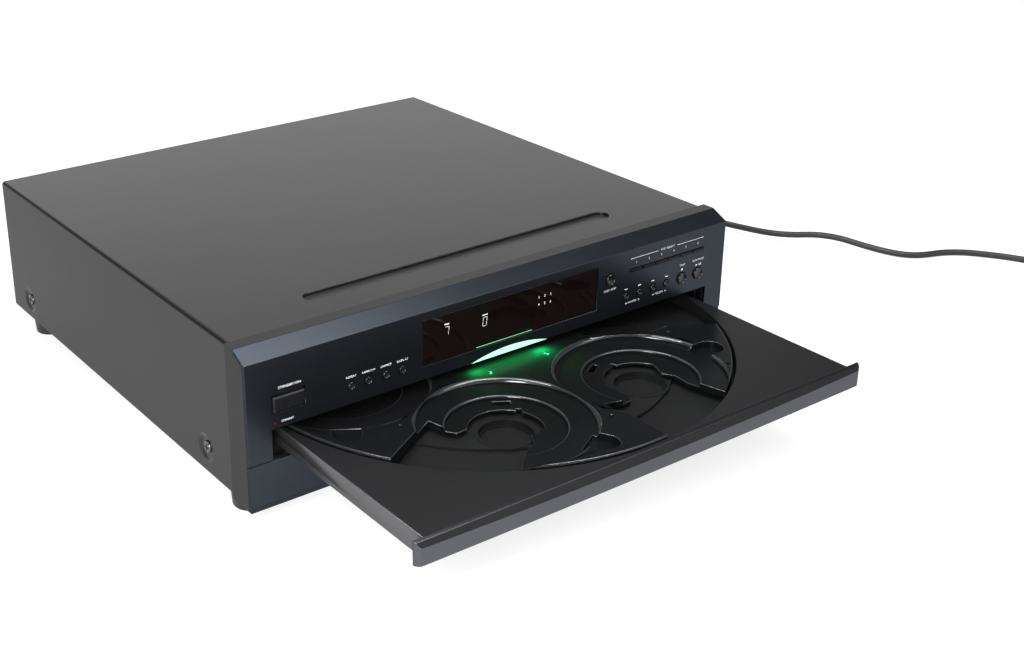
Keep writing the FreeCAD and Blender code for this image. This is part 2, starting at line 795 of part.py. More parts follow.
def make_table_pinion():
    x, y = pinion_place()
    gear = spur_gear(pinion_teeth, gear_module, 4, x, y, gear_floor + 0.5, gear_floor + 0.5 + ring_rise,
                     pinion_direction + 180 + 180 / pinion_teeth)
    return gear.cut(disc(1.0 + post_clearance, x, y, gear_floor - 1, tray_top))


def make_table_screw():
    top = land + hub_rise
    washer = disc(10.5, 0, table_y, top + 0.3, top + 1.3)
    head = disc(3.2, 0, table_y, top + 1.3, top + 3.1)
    head = head.cut(box(-4, 4, table_y - 0.4, table_y + 0.4, top + 2.3, top + 4))
    shank = disc(1.5, 0, table_y, top - 9.0, top + 0.5)
    collar = disc(post_radius, 0, table_y, top, top + 0.4)
    return washer.fuse([head, shank, collar]).removeSplitter()


# ---- disc table ----
def well_cutout():
    """The opening of the well at the front: the hub hole, and the wide mouth out to the table's rim."""
    cx, cy = 0.0, table_y - well_pitch_radius

    def at(across, outward):
        return Vector(cx + across, cy - outward, plate_low - 1)

    right = at(25.9, 2.0)
    left = at(-25.9, -2.0)
    over = at(0, -hub_hole_radius)
    arc = Part.Arc(right, over, left).toShape()
    corners = [left, at(-33.6, 3.2), at(-40.9, -0.1), at(-51.0, -10.5), at(-83.5, 46.0), at(-1.9, 66.0),
               at(7.3, 32.6), at(15.0, 20.8), at(14.5, 11.2), right]
    edges = [arc] + [Part.makeLine(a, b) for a, b in zip(corners, corners[1:])]
    return Part.Face(Part.Wire(edges)).extrude(Vector(0, 0, land - plate_low + 3))


def make_disc_table():
    x, y = 0.0, table_y
    plate = disc(table_radius, x, y, plate_low, land)
    rim = [e for e in plate.Edges if e.BoundBox.ZMin > land - 1e-6]
    plate = plate.makeChamfer(rim_round, rim)
    hub = disc(hub_radius, x, y, land - 1, land + hub_rise)
    plate = plate.fuse(hub)
    # one well, repeated round the table
    cx, cy = 0.0, y - well_pitch_radius
    cuts = []
    ledge_cut = Part.makeCone(well_radius, well_radius + well_taper, land - ledge + 0.001,
                              Vector(cx, cy, ledge), UP)
    inner_cut = Part.makeCone(inner_radius - 0.4, inner_radius, ledge - inner_top + 0.001,
                              Vector(cx, cy, inner_top), UP)
    mouth = well_cutout()
    px, py = polar(cx, cy, pocket_reach, pocket_turn)
    pocket = disc(pocket_radius, px, py, land - pocket_drop, land + 1)
    throat = box(-pocket_radius, pocket_radius, -pocket_reach, -well_radius + 4, land - pocket_drop, land + 1)
    throat.translate(Vector(cx, cy, 0))
    throat = turned(throat, pocket_turn, cx, cy)
    slot = box(-3.9, 8.6, 33.6, 38.2, plate_low - 1, land)
    slot.translate(Vector(cx, cy, 0))
    notch = box(10.6, 14.6, 20.0, 26.5, plate_low - 1, land)
    notch.translate(Vector(cx, cy, 0))
    for cutter in (ledge_cut, inner_cut, mouth, pocket, throat, slot, notch):
        for index in range(well_count):
            cuts.append(turned(cutter, 30 + 360 * index / well_count, x, y))
    plate = plate.cut(cuts)
    # small pins between the wells
    pins = []
    for index in range(well_count):
        bx, by = polar(x, y, pin_pitch_radius, 360 * index / well_count)
        pins.append(disc(pin_radius, bx, by, land - 0.5, land + pin_rise))
    plate = plate.fuse(pins)
    # hollow middle from below, ring gear and bearing sleeve
    hollow = disc(52.0, x, y, plate_low - 1, land - 2.4).cut(disc(hub_radius, x, y, plate_low - 2, land))
    plate = plate.cut(hollow)
    ring = spur_gear(ring_teeth, gear_module, 2, x, y, gear_floor + 0.5, plate_low, pinion_direction)
    ring = ring.cut(disc(ring_radius - 6.0, x, y, gear_floor - 1, plate_low + 1))
    web = disc(ring_radius - 4.5, x, y, plate_low - 0.01,
               plate_low + 1.0).cut(disc(50.0, x, y, plate_low - 1, land))
    plate = plate.fuse([ring, web])
    plate = plate.cut(disc(post_radius + post_clearance, x, y, plate_low - 5, land + 10))
    return plate.removeSplitter()


# ---- rails and drawer drive ----
def make_rails():
    lug_low = tray_low + 3.4
    inner = tray_half + 1.0
    web = rail_web
    outer = web + 2.5
    foot = outer + 11.1
    low = floor_top
    slot_low = lug_low - running_gap
    slot_high = lug_low + lug_rise + running_gap
    points = [(web, low), (foot, low), (foot, low + 2.5), (outer, low + 2.5), (outer, slot_high + 2.7),
              (inner, slot_high + 2.7), (inner, slot_high), (web, slot_high), (web, slot_low),
              (inner, slot_low), (inner, slot_low - 2.5), (web, slot_low - 2.5)]
    y0 = frame_depth + 3.0
    y1 = tray_rear + drawer_travel + 8.0
    right = front_profile(points, y0, y1)
    stop_y = tray_rear - lug_length - running_gap
    right = right.fuse(box(inner, web + 0.5, stop_y - 8.0, stop_y, slot_low - 0.5, slot_high + 0.5))
    holes = [disc(1.8, foot - 5.0, y, low - 1, low + 4) for y in (y0 + 20, (y0 + y1) / 2, y1 - 20)]
    right = right.cut(holes).removeSplitter()
    left = right.mirror(Vector(0, 0, 0), SIDE)
    return Part.makeCompound([left, right])


def make_loading_gear():
    z0 = rack_low + 0.2
    gear = spur_gear(loading_teeth, gear_module, 3, loading_x, loading_y, z0, rack_low + rack_rise - 0.2,
                     180 + 180 / loading_teeth)
    drum = disc(loading_pulley_radius, loading_x, loading_y, z0 - 5.0, z0)
    groove = ring_groove(loading_x, loading_y, loading_pulley_radius, z0 - 2.5)
    return gear.fuse(drum).cut([groove, disc(2.5 + post_clearance, loading_x, loading_y, z0 - 6,
                                             z0 + 8)]).removeSplitter()


def ring_groove(x, y, radius, z):
    """A shallow groove for the belt."""
    outer = disc(radius + 1, x, y, z - 0.9, z + 0.9)
    return outer.cut(disc(radius - belt_groove, x, y, z - 2, z + 2))


def belt_line(pulley_radius):
    """Radius of the belt's centre line where it lies in a pulley's groove."""
    return pulley_radius - belt_groove + belt_radius + post_clearance


def motor_pulley_radius():
    return loading_pulley_radius - belt_line(loading_pulley_radius) * (1 - 1 / pulley_ratio)


def make_loading_pulley():
    z0 = rack_low + 0.2
    x, y = loading_x, loading_y + motor_spacing
    radius = motor_pulley_radius()
    drum = disc(radius, x, y, z0 - 5.0, z0)
    return drum.cut([ring_groove(x, y, radius, z0 - 2.5), disc(1.0 + post_clearance, x, y, z0 - 6, z0 + 1)])


def belt_loop(extra, z0, z1):
    """The solid inside a belt round both pulleys, its edge set off by extra from the belt's line."""
    big = belt_line(loading_pulley_radius) + extra
    small = belt_line(motor_pulley_radius()) + extra
    lean = math.asin((big - small) / motor_spacing)
    x, y0, y1 = loading_x, loading_y, loading_y + motor_spacing
    corners = []
    for y, radius in ((y0, big), (y1, small)):
        corners.append((x + radius * math.cos(lean), y + radius * math.sin(lean)))
        corners.append((x - radius * math.cos(lean), y + radius * math.sin(lean)))
    middle = plan([corners[0], corners[2], corners[3], corners[1]], z0, z1)
    return middle.fuse([disc(big, x, y0, z0, z1), disc(small, x, y1, z0, z1)]).removeSplitter()


def make_loading_belt():
    """A flat belt round both pulleys, in their grooves."""
    z = rack_low + 0.2 - 2.5
    outer = belt_loop(belt_radius, z - belt_radius, z + belt_radius)
    return outer.cut(belt_loop(-belt_radius, z - 2, z + 2))


def make_loading_motor():
    x, y = loading_x, loading_y + motor_spacing
    z0 = rack_low + 0.2
    plate_top = z0 - 5.6
    plate = box(x - 18.0, x + 18.0, loading_y - 12.0, y + 16.0, plate_top - 2.0, plate_top)
    legs = [box(x - 18.0, x - 15.5, loading_y - 12.0, y + 16.0, floor_top, plate_top - 2.0),
            box(x + 15.5, x + 18.0, loading_y - 12.0, y + 16.0, floor_top, plate_top - 2.0)]
    post = disc(2.5, x, loading_y, plate_top, z0 + rack_rise - 0.4)
    can = disc(11.5, x, y, floor_top + 1.0, plate_top - 2.0)
    shaft = disc(1.0, x, y, plate_top - 2.0, z0 - 0.2)
    return plate.fuse(legs + [post, can, shaft]).removeSplitter()


# ---- pickup deck, at its low stop ----
def deck_outline(z0, z1):
    return box(deck_x - deck_half_width, deck_x + deck_half_width, spindle_y - deck_front,
               spindle_y + deck_back, z0, z1)


def guide_pin_ys():
    return [spindle_y - 8.0, spindle_y + 46.0]


def make_deck():
    left = deck_x - deck_half_width
    right = deck_x + deck_half_width
    plate = deck_outline(deck_top - deck_sheet, deck_top)
    skirt = deck_outline(deck_top - 14.0, deck_top).cut(
        box(left + 2.0, right - 2.0, spindle_y - deck_front + 2.0, spindle_y + deck_back - 2.0,
            deck_top - 15, deck_top))
    plate = plate.fuse(skirt)
    sled_window = box(spindle_x - 9.5, spindle_x + 9.5, spindle_y + sled_inner - 6.5,
                      spindle_y + sled_inner + sled_travel + 6.5, deck_top - 5, deck_top + 1)
    plate = plate.cut([sled_window, disc(5.0, spindle_x, spindle_y, deck_top - 5, deck_top + 1)])
    pins = []
    for y in guide_pin_ys():
        pins.append(cross_bar(guide_pin_radius, y, pin_z, left - 6.5, left + 1.0))
        pins.append(cross_bar(guide_pin_radius, y, pin_z, right - 1.0, right + 9.0))
    # bearing blocks for the rods and the screw
    z = rod_z()
    blocks = []
    for y0 in (spindle_y + sled_inner - 12.0, spindle_y + deck_back - 5.0):
        blocks.append(box(spindle_x - rod_spacing - 4.0, spindle_x + rod_spacing + 8.0, y0, y0 + 3.0,
                          z - 3.0, deck_top - 1.0))
    plate = plate.fuse(pins + blocks)
    holes = []
    for x in rod_xs():
        holes.append(bar(rod_radius, x, z, spindle_y + sled_inner - 13.0, spindle_y + deck_back - 1.9))
    holes.append(bar(screw_radius + post_clearance, screw_x(), z, spindle_y + sled_inner - 13.0,
                     spindle_y + deck_back - 1.5))
    return plate.cut(holes).removeSplitter()


def rod_z():
    return deck_top - deck_sheet - 3.6


def rod_xs():
    return [spindle_x - rod_spacing, spindle_x + rod_spacing]


def screw_x():
    return spindle_x + rod_spacing + 5.2


def make_rods():
    y0 = spindle_y + sled_inner - 12.0
    y1 = spindle_y + deck_back - 2.0
    return Part.makeCompound([bar(rod_radius, x, rod_z(), y0, y1) for x in rod_xs()])


def make_feed_screw():
    z = rod_z()
    y0 = spindle_y + sled_inner - 12.4
    y1 = spindle_y + deck_back - 2.2
    screw = bar(screw_radius, screw_x(), z, y0, y1)
    wheel = bar(3.2, screw_x(), z, y0 - 3.6, y0)
    notches = []
    for index in range(10):
        notch = box(-0.4, 0.4, y0 - 4, y0 + 0.1, 2.5, 4.0)
        notch.rotate(Vector(0, 0, 0), FORWARD, 36 * index)
        notch.translate(Vector(screw_x(), 0, z))
        notches.append(notch)
    return screw.fuse(wheel.cut(notches))


def make_spindle_motor():
    can = disc(11.0, spindle_x, spindle_y, deck_top - deck_sheet - 11.0, deck_top - deck_sheet)
    shaft = disc(1.0, spindle_x, spindle_y, deck_top - deck_sheet - 12.0, spindle_top - 0.5)
    return can.fuse(shaft)


def make_platter():
    """Disc seat and centring cone, turned on the motor's shaft."""
    x, y, top = spindle_x, spindle_y, spindle_top
    body = disc(spindle_radius, x, y, top - 2.6, top)
    neck = disc(6.0, x, y, deck_top + 1.0, top - 2.0)
    cone = Part.makeCone(7.4, 6.2, 2.0, Vector(x, y, top), UP)
    bore = disc(1.0 + post_clearance, x, y, deck_top, spindle_top - 0.4)
    return body.fuse([neck, cone]).cut(bore).removeSplitter()


def make_sled():
    z = rod_z()
    y = spindle_y + sled_inner
    slab = box(spindle_x - rod_spacing - 3.5, spindle_x + rod_spacing + 8.4, y - 5.2, y + 5.2, z - 2.9,
               z + 2.9)
    tower = box(spindle_x - 8.5, spindle_x + 8.5, y - 5.2, y + 5.2, z + 2.0, spindle_top - 3.8)
    tower = tower.makeChamfer(1.0, [e for e in tower.Edges if e.BoundBox.ZMin > spindle_top - 3.81])
    lens = disc(lens_radius, spindle_x, y, spindle_top - 4.0, spindle_top - 2.8)
    dome = Part.makeCone(lens_radius - 0.6, 1.5, 0.5, Vector(spindle_x, y, spindle_top - 2.8), UP)
    holes = [bar(rod_radius + post_clearance, x, z, y - 7, y + 7) for x in rod_xs()]
    holes.append(bar(screw_radius + post_clearance, screw_x(), z, y - 7, y + 7))
    return slab.fuse([tower, lens, dome]).cut(holes).removeSplitter()


def guide_wall_x():
    """Inner faces of the fixed guide walls, left and right of the deck."""
    return deck_x - deck_half_width - guide_gap - 2.0, deck_x + deck_half_width + guide_gap


def make_lift_guides():
    left, right = guide_wall_x()
    top = tray_low - 0.7
    y0 = spindle_y - deck_front - 2.0
    y1 = spindle_y + deck_back
    walls = []
    for x0 in (left, right):
        wall = box(x0, x0 + 2.0, y0, y1, floor_top, top)
        walls.append(wall)
    walls.append(box(left - 10.0, left, y0, y1, floor_top, floor_top + 2.0))
    base = box(right + 2.0, right + 12.0, y0, y1, floor_top, floor_top + 2.0)
    keeper = box(right + 2.0, right + 2.0 + 5.6, y0, y1, floor_top, cam_low() - running_gap)
    lip = box(right + 4.8, right + 7.6, y0, y1, floor_top, cam_low() + 2.0)
    body = walls[0].fuse(walls[1:] + [base, keeper, lip])
    slots = []
    half = guide_pin_radius + guide_gap
    for y in guide_pin_ys():
        slots.append(box(left - 1, left + 3, y - half, y + half, pin_z - half, top + 1))
        slots.append(box(right - 1, right + 3, y - half, y + half, pin_z - half, top + 1))
    return body.cut(slots).removeSplitter()


def cam_low():
    return pin_z - 8.0


def make_cam():
    """A flat slide with two sloping slots that raise the deck's pins."""
    left, right = guide_wall_x()
    x0 = right + 2.0 + running_gap
    x1 = x0 + 2.0
    half = guide_pin_radius + guide_gap
    y_front, y_back = guide_pin_ys()
    top = tray_low - 0.7
    body = box(x0, x1, y_front - cam_travel - 7.0, y_back + 6.0, cam_low(), top)
    slots = []
    for y in (y_front, y_back):
        low = (y, pin_z)
        high = (y - cam_travel, pin_z + lift_travel)
        length = math.hypot(cam_travel, lift_travel)
        nx = half * lift_travel / length
        nz = half * cam_travel / length
        points = [(low[0] + nx, low[1] + nz), (high[0] + nx, high[1] + nz), (high[0] - nx, high[1] - nz),
                  (low[0] - nx, low[1] - nz)]
        slots.append(side_profile(points, x0 - 1, x1 + 1))
        slots.append(cross_bar(half, low[0], low[1], x0 - 1, x1 + 1))
        slots.append(cross_bar(half, high[0], high[1], x0 - 1, x1 + 1))
    return body.cut(slots).removeSplitter()


def make_bridge():
    """The beam over the table that carries the clamper, on a leg at each side."""
    y0 = spindle_y - 24.0
    y1 = spindle_y + 24.0
    low = bridge_low
    sheet = 1.5
    reach = rail_web
    rail_top = tray_low + 3.4 + lug_rise + running_gap + 2.7
    beam = box(-reach - 6.0, reach + 6.0, y0, y1, low, low + sheet)
    lips = [box(-reach - 6.0, reach + 6.0, y0, y0 + sheet, low, low + 8.0),
            box(-reach - 6.0, reach + 6.0, y1 - sheet, y1, low, low + 8.0)]
    legs = []
    for side in (-1, 1):
        inner = side * reach
        outer = side * (reach + 1.5)
        legs.append(box(min(inner, outer), max(inner, outer), y0, y1, rail_top, low + sheet))
        foot_out = side * (reach + 2.5)
        legs.append(box(min(inner, foot_out), max(inner, foot_out), y0, y1, rail_top, rail_top + 1.5))
    body = beam.fuse(lips + legs)
    return body.cut(disc(clamper_radius + 1.0, spindle_x, spindle_y, low - 1, low + 4)).removeSplitter()


def make_clamper():
    """Magnetic puck that hangs by its flange in the bridge."""
    x, y = spindle_x, spindle_y
    grip = spindle_top + lift_travel + disc_thickness
    seat = bridge_low + 1.5 + running_gap
    body = disc(clamper_radius, x, y, grip + 0.6, seat + 0.5)
    rim = disc(clamper_radius, x, y, grip, grip + 1.0).cut(disc(12.5, x, y, grip - 1, grip + 2))
    flange = disc(clamper_flange, x, y, seat, seat + 1.8)
    knob = disc(6.0, x, y, seat + 1.8, seat + 4.0)
    socket = disc(8.4, x, y, grip - 1, grip + 3.0)
    return body.fuse([rim, flange, knob]).cut(socket).removeSplitter()


# ---- electrics ----
def make_transformer():
    x = rail_web - 33.4
    y = frame_depth + 59.2
    low = floor_top
    plate = box(x - 31, x + 31, y - 22, y + 22, low, low + 1.5)
    core = box(x - 26, x + 26, y - 11, y + 11, low + 1.5, low + 32.0)
    coil = box(x - 15, x + 15, y - 20, y + 20, low + 6.0, low + 27.5)
    coil = coil.makeFillet(4.0, [e for e in coil.Edges if abs(e.BoundBox.ZLength - 21.5) < 1e-6])
    return plate.fuse([core, coil]).removeSplitter()


def make_main_board():
    x0 = 20.0
    x1 = rail_web - 11.4
    y1 = rear_front - 8.0
    y0 = y1 - 92.0
    top = floor_top + 8.0
    board = box(x0, x1, y0, y1, top - board_sheet, top)
    parts = [box(x - 3, x + 3, y - 3, y + 3, floor_top, top - board_sheet) for x in (x0 + 6, x1 - 6)
             for y in (y0 + 6, y1 - 6)]
    for index in range(2):
        parts.append(disc(7.0, x0 + 80.0 + 20.0 * index, y0 + 18.0, top, top + 18.0))
    parts.append(box(x0 + 20.0, x0 + 42.0, y0 + 32.0, y0 + 54.0, top, top + 2.2))
    parts.append(box(x0 + 58.0, x0 + 72.0, y0 + 38.0, y0 + 66.0, top, top + 3.0))
    fins = x0 + 84.0
    parts.append(box(fins, fins + 46.0, y0 + 60.0, y0 + 63.0, top, top + 20.0))
    for index in range(6):
        x = fins + 4.0 + 8.0 * index
        parts.append(box(x, x + 1.6, y0 + 62.0, y0 + 72.0, top, top + 20.0))
    return board.fuse(parts).removeSplitter()


def make_rear_jacks():
    pieces = []
    board = box(audio_xs[0] - 14.0, audio_xs[-1] + 12.0, rear_front - 12.0, rear_front, jack_height - 9.0,
                jack_height + 9.0)
    barrels = []
    bores = []
    for x in audio_xs:
        barrels.append(bar(jack_radius, x, jack_height, rear_front - 1.0, jack_end))
        barrels.append(square_bar(jack_radius + 1.8, x, jack_height, rear_face, rear_face + 1.2))
        bores.append(bar(1.7, x, jack_height, rear_face, jack_end + 1))
    pieces.append(board.fuse(barrels).cut(bores).removeSplitter())
    block = box(remote_xs[0] - 9.0, remote_xs[-1] + 9.0, rear_front - 12.0, rear_front, jack_height - 6.0,
                jack_height + 6.0)
    sockets = [bar(3.1, x, jack_height, rear_front - 1.0, rear_face + 0.8) for x in remote_xs]
    holes = [bar(1.8, x, jack_height, rear_front - 8.0, rear_face + 2) for x in remote_xs]
    pieces.append(block.fuse(sockets).cut(holes).removeSplitter())
    return Part.makeCompound(pieces)


def make_optical_jack():
    half = 5.0
    body = box(optical_x - half, optical_x + half, rear_front - 12.0, rear_face + 1.0, jack_height - half,
               jack_height + half)
    flap = box(optical_x - 3.6, optical_x + 3.6, rear_face + 0.2, rear_face + 2, jack_height - 3.6,
               jack_height + 3.6)
    return body.cut(flap)


def octagon(radius, y):
    """An eight-sided wire round the lead's axis, facing +Y."""
    corners = []
    for index in range(9):
        turn = math.radians(22.5 + 45 * index)
        corners.append(Vector(gland_x + radius * math.cos(turn), y, gland_z + radius * math.sin(turn)))
    return Part.makePolygon(corners)


def make_gland():
    """Strain relief: a head snapped into the rear panel and a grooved taper along the lead."""
    half = 5.5
    root = rear_face + 2.4
    head = box(gland_x - 8.0, gland_x + 8.0, rear_face, root, gland_z - 7.0, gland_z + 7.0)
    neck = box(gland_x - half, gland_x + half, rear_front, rear_face, gland_z - half, gland_z + half)
    lock = box(gland_x - 7.0, gland_x + 7.0, rear_front - 5.0, rear_front, gland_z - half, gland_z + half)
    tail = Part.makeLoft([octagon(6.4, root), octagon(4.3, root + gland_tail)], True, True)
    cuts = []
    for index in range(5):
        y = root + 3.6 + 4.2 * index
        side = 1 if index % 2 else -1
        edge = gland_z + side * 3.4
        cuts.append(box(gland_x - 8, gland_x + 8, y, y + 1.2, min(edge, edge + side * 5),
                        max(edge, edge + side * 5)))
    return head.fuse([neck, lock, tail.cut(cuts)]).removeSplitter()


# ---- mains lead ----
def lead_exit():
    return Vector(gland_x, rear_face + 2.4 + gland_tail, gland_z)


def lead_route():
    """The lead's corner points, from the strain relief to the coil beside the cabinet."""
    low = lead_diameter / 2 + 0.02
    start = lead_exit()
    return [start,
            start + FORWARD * 26.0,
            Vector(182.0, 504.0, 30.0),
            Vector(228.0, 528.0, low),
            Vector(298.0, 500.0, low),
            Vector(356.0, 434.0, low),
            Vector(400.0, 358.0, low),
            Vector(430.0, 276.0, low + 1.0),
            Vector(447.0, 203.0, low + 3.5),
            Vector(462.0, 148.0, low + 5.0),
            Vector(497.0, 118.0, low + 8.0),
            Vector(516.0, 76.0, low + 1.0),
            Vector(532.0, 43.0, low),
            Vector(574.0, 31.0, low),
            Vector(603.0, -8.0, low),
            Vector(616.0, -34.0, low),
            Vector(640.0, -66.0, low)]


def lead_path(points):
    """Straight runs joined by tangent arcs; prints the radius of each arc."""
    edges = []
    radii = []
    here = points[0]
    for before, corner, after in zip(points, points[1:], points[2:]):
        run_in = corner - before
        run_out = after - corner
        turn = run_in.getAngle(run_out)
        reach = 0.45 * min(run_in.Length, run_out.Length)
        radius = reach / math.tan(turn / 2)
        unit_in = Vector(run_in).normalize()
        unit_out = Vector(run_out).normalize()
        start = corner - unit_in * reach
        end = corner + unit_out * reach
        bisector = Vector(unit_out - unit_in).normalize()
        middle = corner + bisector * (math.hypot(radius, reach) - radius)
        edges.append(Part.makeLine(here, start))
        edges.append(Part.Arc(start, middle, end).toShape())
        radii.append(round(radius, 1))
        here = end
    edges.append(Part.makeLine(here, points[-1]))
    print("lead arc radii:", radii)
    return Part.Wire(edges)


def make_lead():
    path = lead_path(lead_route())
    start = lead_route()[0]
    ahead = lead_route()[1] - start
    ring = Part.Wire(Part.makeCircle(lead_diameter / 2, start, ahead))
    tube = path.makePipeShell([ring], True, False)
    section = math.pi * (lead_diameter / 2) ** 2
    print("lead laid out:", round(path.Length, 1), "volume share",
          round(tube.Volume / (section * path.Length), 4))
    return tube


def coil_turn_radius():
    return lead_diameter * 5.5


def coil_place():
    """Middle of the coil; the lead runs into its left side."""
    end = lead_route()[-1]
    ahead = Vector(end - lead_route()[-2]).normalize()
    left = Vector(-ahead.y, ahead.x, 0)
    return end + left * coil_turn_radius()


def make_coil():
    """One closed solid with the outer shape of the wound turns, notched where the lead's ends join it."""
    middle = coil_place()
    inner = coil_turn_radius() - lead_diameter * 1.5
    outer = coil_turn_radius() + lead_diameter * 1.5
    height = lead_diameter * 1.9
    ring = disc(outer, middle.x, middle.y, 0, height).cut(disc(inner, middle.x, middle.y, -1, height + 1))
    end = lead_route()[-1]
    back = Vector(lead_route()[-2] - end).normalize()
    notch = box(0, outer, -lead_diameter * 0.75, lead_diameter * 0.75, -1, height + 1)
    notch.rotate(Vector(0, 0, 0), UP, math.degrees(math.atan2(back.y, back.x)))
    notch.translate(Vector(end.x, end.y, 0))
    plug_x = plug_start(middle)
    plug_y = middle.y - coil_turn_radius()
    gate = box(plug_x, plug_x + outer, plug_y - lead_diameter * 1.6, plug_y + lead_diameter * 0.75, -1,
               height + 1)
    return ring.cut([notch, gate])


def plug_start(middle):
    """Where the plug's own end of the lead meets the coil."""
    return middle.x + 12.0


def make_plug():
    """A moulded two-pin plug on the floor; its own end of the lead leaves the coil's front side."""
    middle = coil_place()
    half_high = 7.0
    y = middle.y - coil_turn_radius()
    x = middle.x + 62.0
    body = box(x, x + 26.0, y - 12.0, y + 12.0, 0.0, 2 * half_high)
    body = body.makeChamfer(3.0, [e for e in body.Edges if abs(e.BoundBox.XLength - 26.0) < 1e-6])
    sleeve = Part.makeCone(3.6, 5.6, 16.0, Vector(x - 16.0, y, half_high), SIDE)
    start = plug_start(middle)
    sleeve = sleeve.fuse(Part.makeCylinder(lead_diameter / 2, x - 15.0 - start, Vector(start, y, half_high),
                                           SIDE))
    blades = [box(x + 25.0, x + 43.0, y + side * 6.35 - 0.75, y + side * 6.35 + 0.75, half_high - 3.2,
                  half_high + 3.2)
              for side in (-1, 1)]
    return body.fuse([sleeve] + blades).removeSplitter()


# ---- the assembly ----
keep("chassis_base", make_chassis())
keep("rear_panel", make_rear_panel())
keep("top_cover", make_cover())
keep("cover_screws", make_cover_screws())
keep("feet", make_feet())
keep("front_panel", make_fascia())
keep("chin_panel", make_chin())
keep("panel_frame", make_frame())
keep("display_window", make_window())
keep("lamp_lens", lamp_shape(0, fascia_sheet, -0.1))
keep("standby_lamp", make_standby_lamp())
keep("display_tube", make_tube())
keep("front_board", make_front_board())
keep("power_button", make_power_button())
for number, x in enumerate(mode_xs, 1):
    keep("mode_button_" + str(number), make_round_button(x, mode_height, mode_radius, 1.2))
keep("skip_button", make_round_button(skip_x, skip_height, skip_radius, 1.6))
for number, x in enumerate(track_xs, 1):
    keep("track_button_" + str(number), make_round_button(x, track_height, track_radius, 1.2))
keep("stop_button", make_round_button(stop_x, stop_height, stop_radius, 1.6))
keep("play_button", make_round_button(play_x, stop_height, stop_radius, 1.6))
for index in range(key_count):
    keep("disc_key_" + str(index + 1), make_key(index))
keep("drawer_front", make_drawer_front())
keep("drawer_tray", make_tray())
keep("table_motor", make_table_motor())
keep("table_pinion", make_table_pinion())
keep("table_screw", make_table_screw())
keep("disc_table", make_disc_table())
keep("drawer_rails", make_rails())
keep("loading_gear", make_loading_gear())
keep("loading_pulley", make_loading_pulley())
keep("loading_belt", make_loading_belt())
keep("loading_motor", make_loading_motor())
keep("lift_deck", make_deck())
keep("slide_rods", make_rods())
keep("feed_screw", make_feed_screw())
keep("spindle_motor", make_spindle_motor())
keep("spindle_platter", make_platter())
keep("pickup_sled", make_sled())
keep("lift_guides", make_lift_guides())
keep("lift_cam", make_cam())
keep("clamp_bridge", make_bridge())
keep("clamper", make_clamper())
keep("transformer", make_transformer())
keep("main_board", make_main_board())
keep("rear_jacks", make_rear_jacks())
keep("optical_jack", make_optical_jack())
keep("cord_gland", make_gland())
lead = make_lead()
keep("mains_lead", lead)
keep("lead_coil", make_coil())
keep("mains_plug", make_plug())

os.makedirs("parts", exist_ok=True)
for name, shape in shapes.items():
    shape.exportStep("parts/" + name + ".step")
print(len(shapes), "pieces; origin_y", round(origin_y, 3))
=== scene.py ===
import bpy
import bmesh
import json
import math
from itertools import product
from mathutils import Matrix, Vector
from mathutils.kdtree import KDTree


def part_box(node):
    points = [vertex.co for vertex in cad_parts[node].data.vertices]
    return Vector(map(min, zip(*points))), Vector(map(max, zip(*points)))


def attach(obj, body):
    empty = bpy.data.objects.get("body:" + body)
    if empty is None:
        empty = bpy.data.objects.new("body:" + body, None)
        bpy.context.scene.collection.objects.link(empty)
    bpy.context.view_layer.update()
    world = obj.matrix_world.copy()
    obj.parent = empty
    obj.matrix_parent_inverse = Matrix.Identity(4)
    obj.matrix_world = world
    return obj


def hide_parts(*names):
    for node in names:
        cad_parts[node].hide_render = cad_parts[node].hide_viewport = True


# A full-width disc changer with its drawer out: steel cover, dark satin front, a turning table of disc wells.
# Metres, +Z up, +Y to the rear. Places on the front are given in millimetres from the fascia's face.

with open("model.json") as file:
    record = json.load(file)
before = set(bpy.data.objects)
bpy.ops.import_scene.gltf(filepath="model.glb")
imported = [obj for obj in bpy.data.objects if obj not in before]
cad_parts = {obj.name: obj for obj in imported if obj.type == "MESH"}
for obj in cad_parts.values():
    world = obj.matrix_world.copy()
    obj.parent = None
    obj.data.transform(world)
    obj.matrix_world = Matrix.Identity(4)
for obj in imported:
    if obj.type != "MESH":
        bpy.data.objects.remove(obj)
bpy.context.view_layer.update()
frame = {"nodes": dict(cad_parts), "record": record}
nodes = frame["nodes"]
scene = bpy.context.scene
print("frame loaded:", len(nodes), "nodes")

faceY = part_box("front_panel")[0][1]


# millimetres from the middle of the fascia's face and the shelf, in the row frame
def at(x, y, z):
    return Vector((x / 1000, faceY + y / 1000, z / 1000))


cameraSet = {
    "place": (-0.611865, -0.868096, 0.538697),
    "across": (0.81879, -0.57402, -0.00904),
    "up": (0.22352, 0.30424, 0.92600),
    "back": (-0.52880, -0.76022, 0.37741),
    "lens": 51.553,
    "shift": (0.11396, -0.07789),
    "clip": (0.02, 60.0),
}


def makeCamera(s):
    data = bpy.data.cameras.new("camera")
    data.sensor_fit = "HORIZONTAL"
    data.sensor_width = 36.0
    data.lens = s["lens"]
    data.shift_x, data.shift_y = s["shift"]
    data.clip_start, data.clip_end = s["clip"]
    camera = bpy.data.objects.new("camera", data)
    turn = Matrix((s["across"], s["up"], s["back"])).transposed().to_4x4()
    camera.matrix_world = Matrix.Translation(s["place"]) @ turn
    scene.collection.objects.link(camera)
    scene.camera = camera


makeCamera(cameraSet)

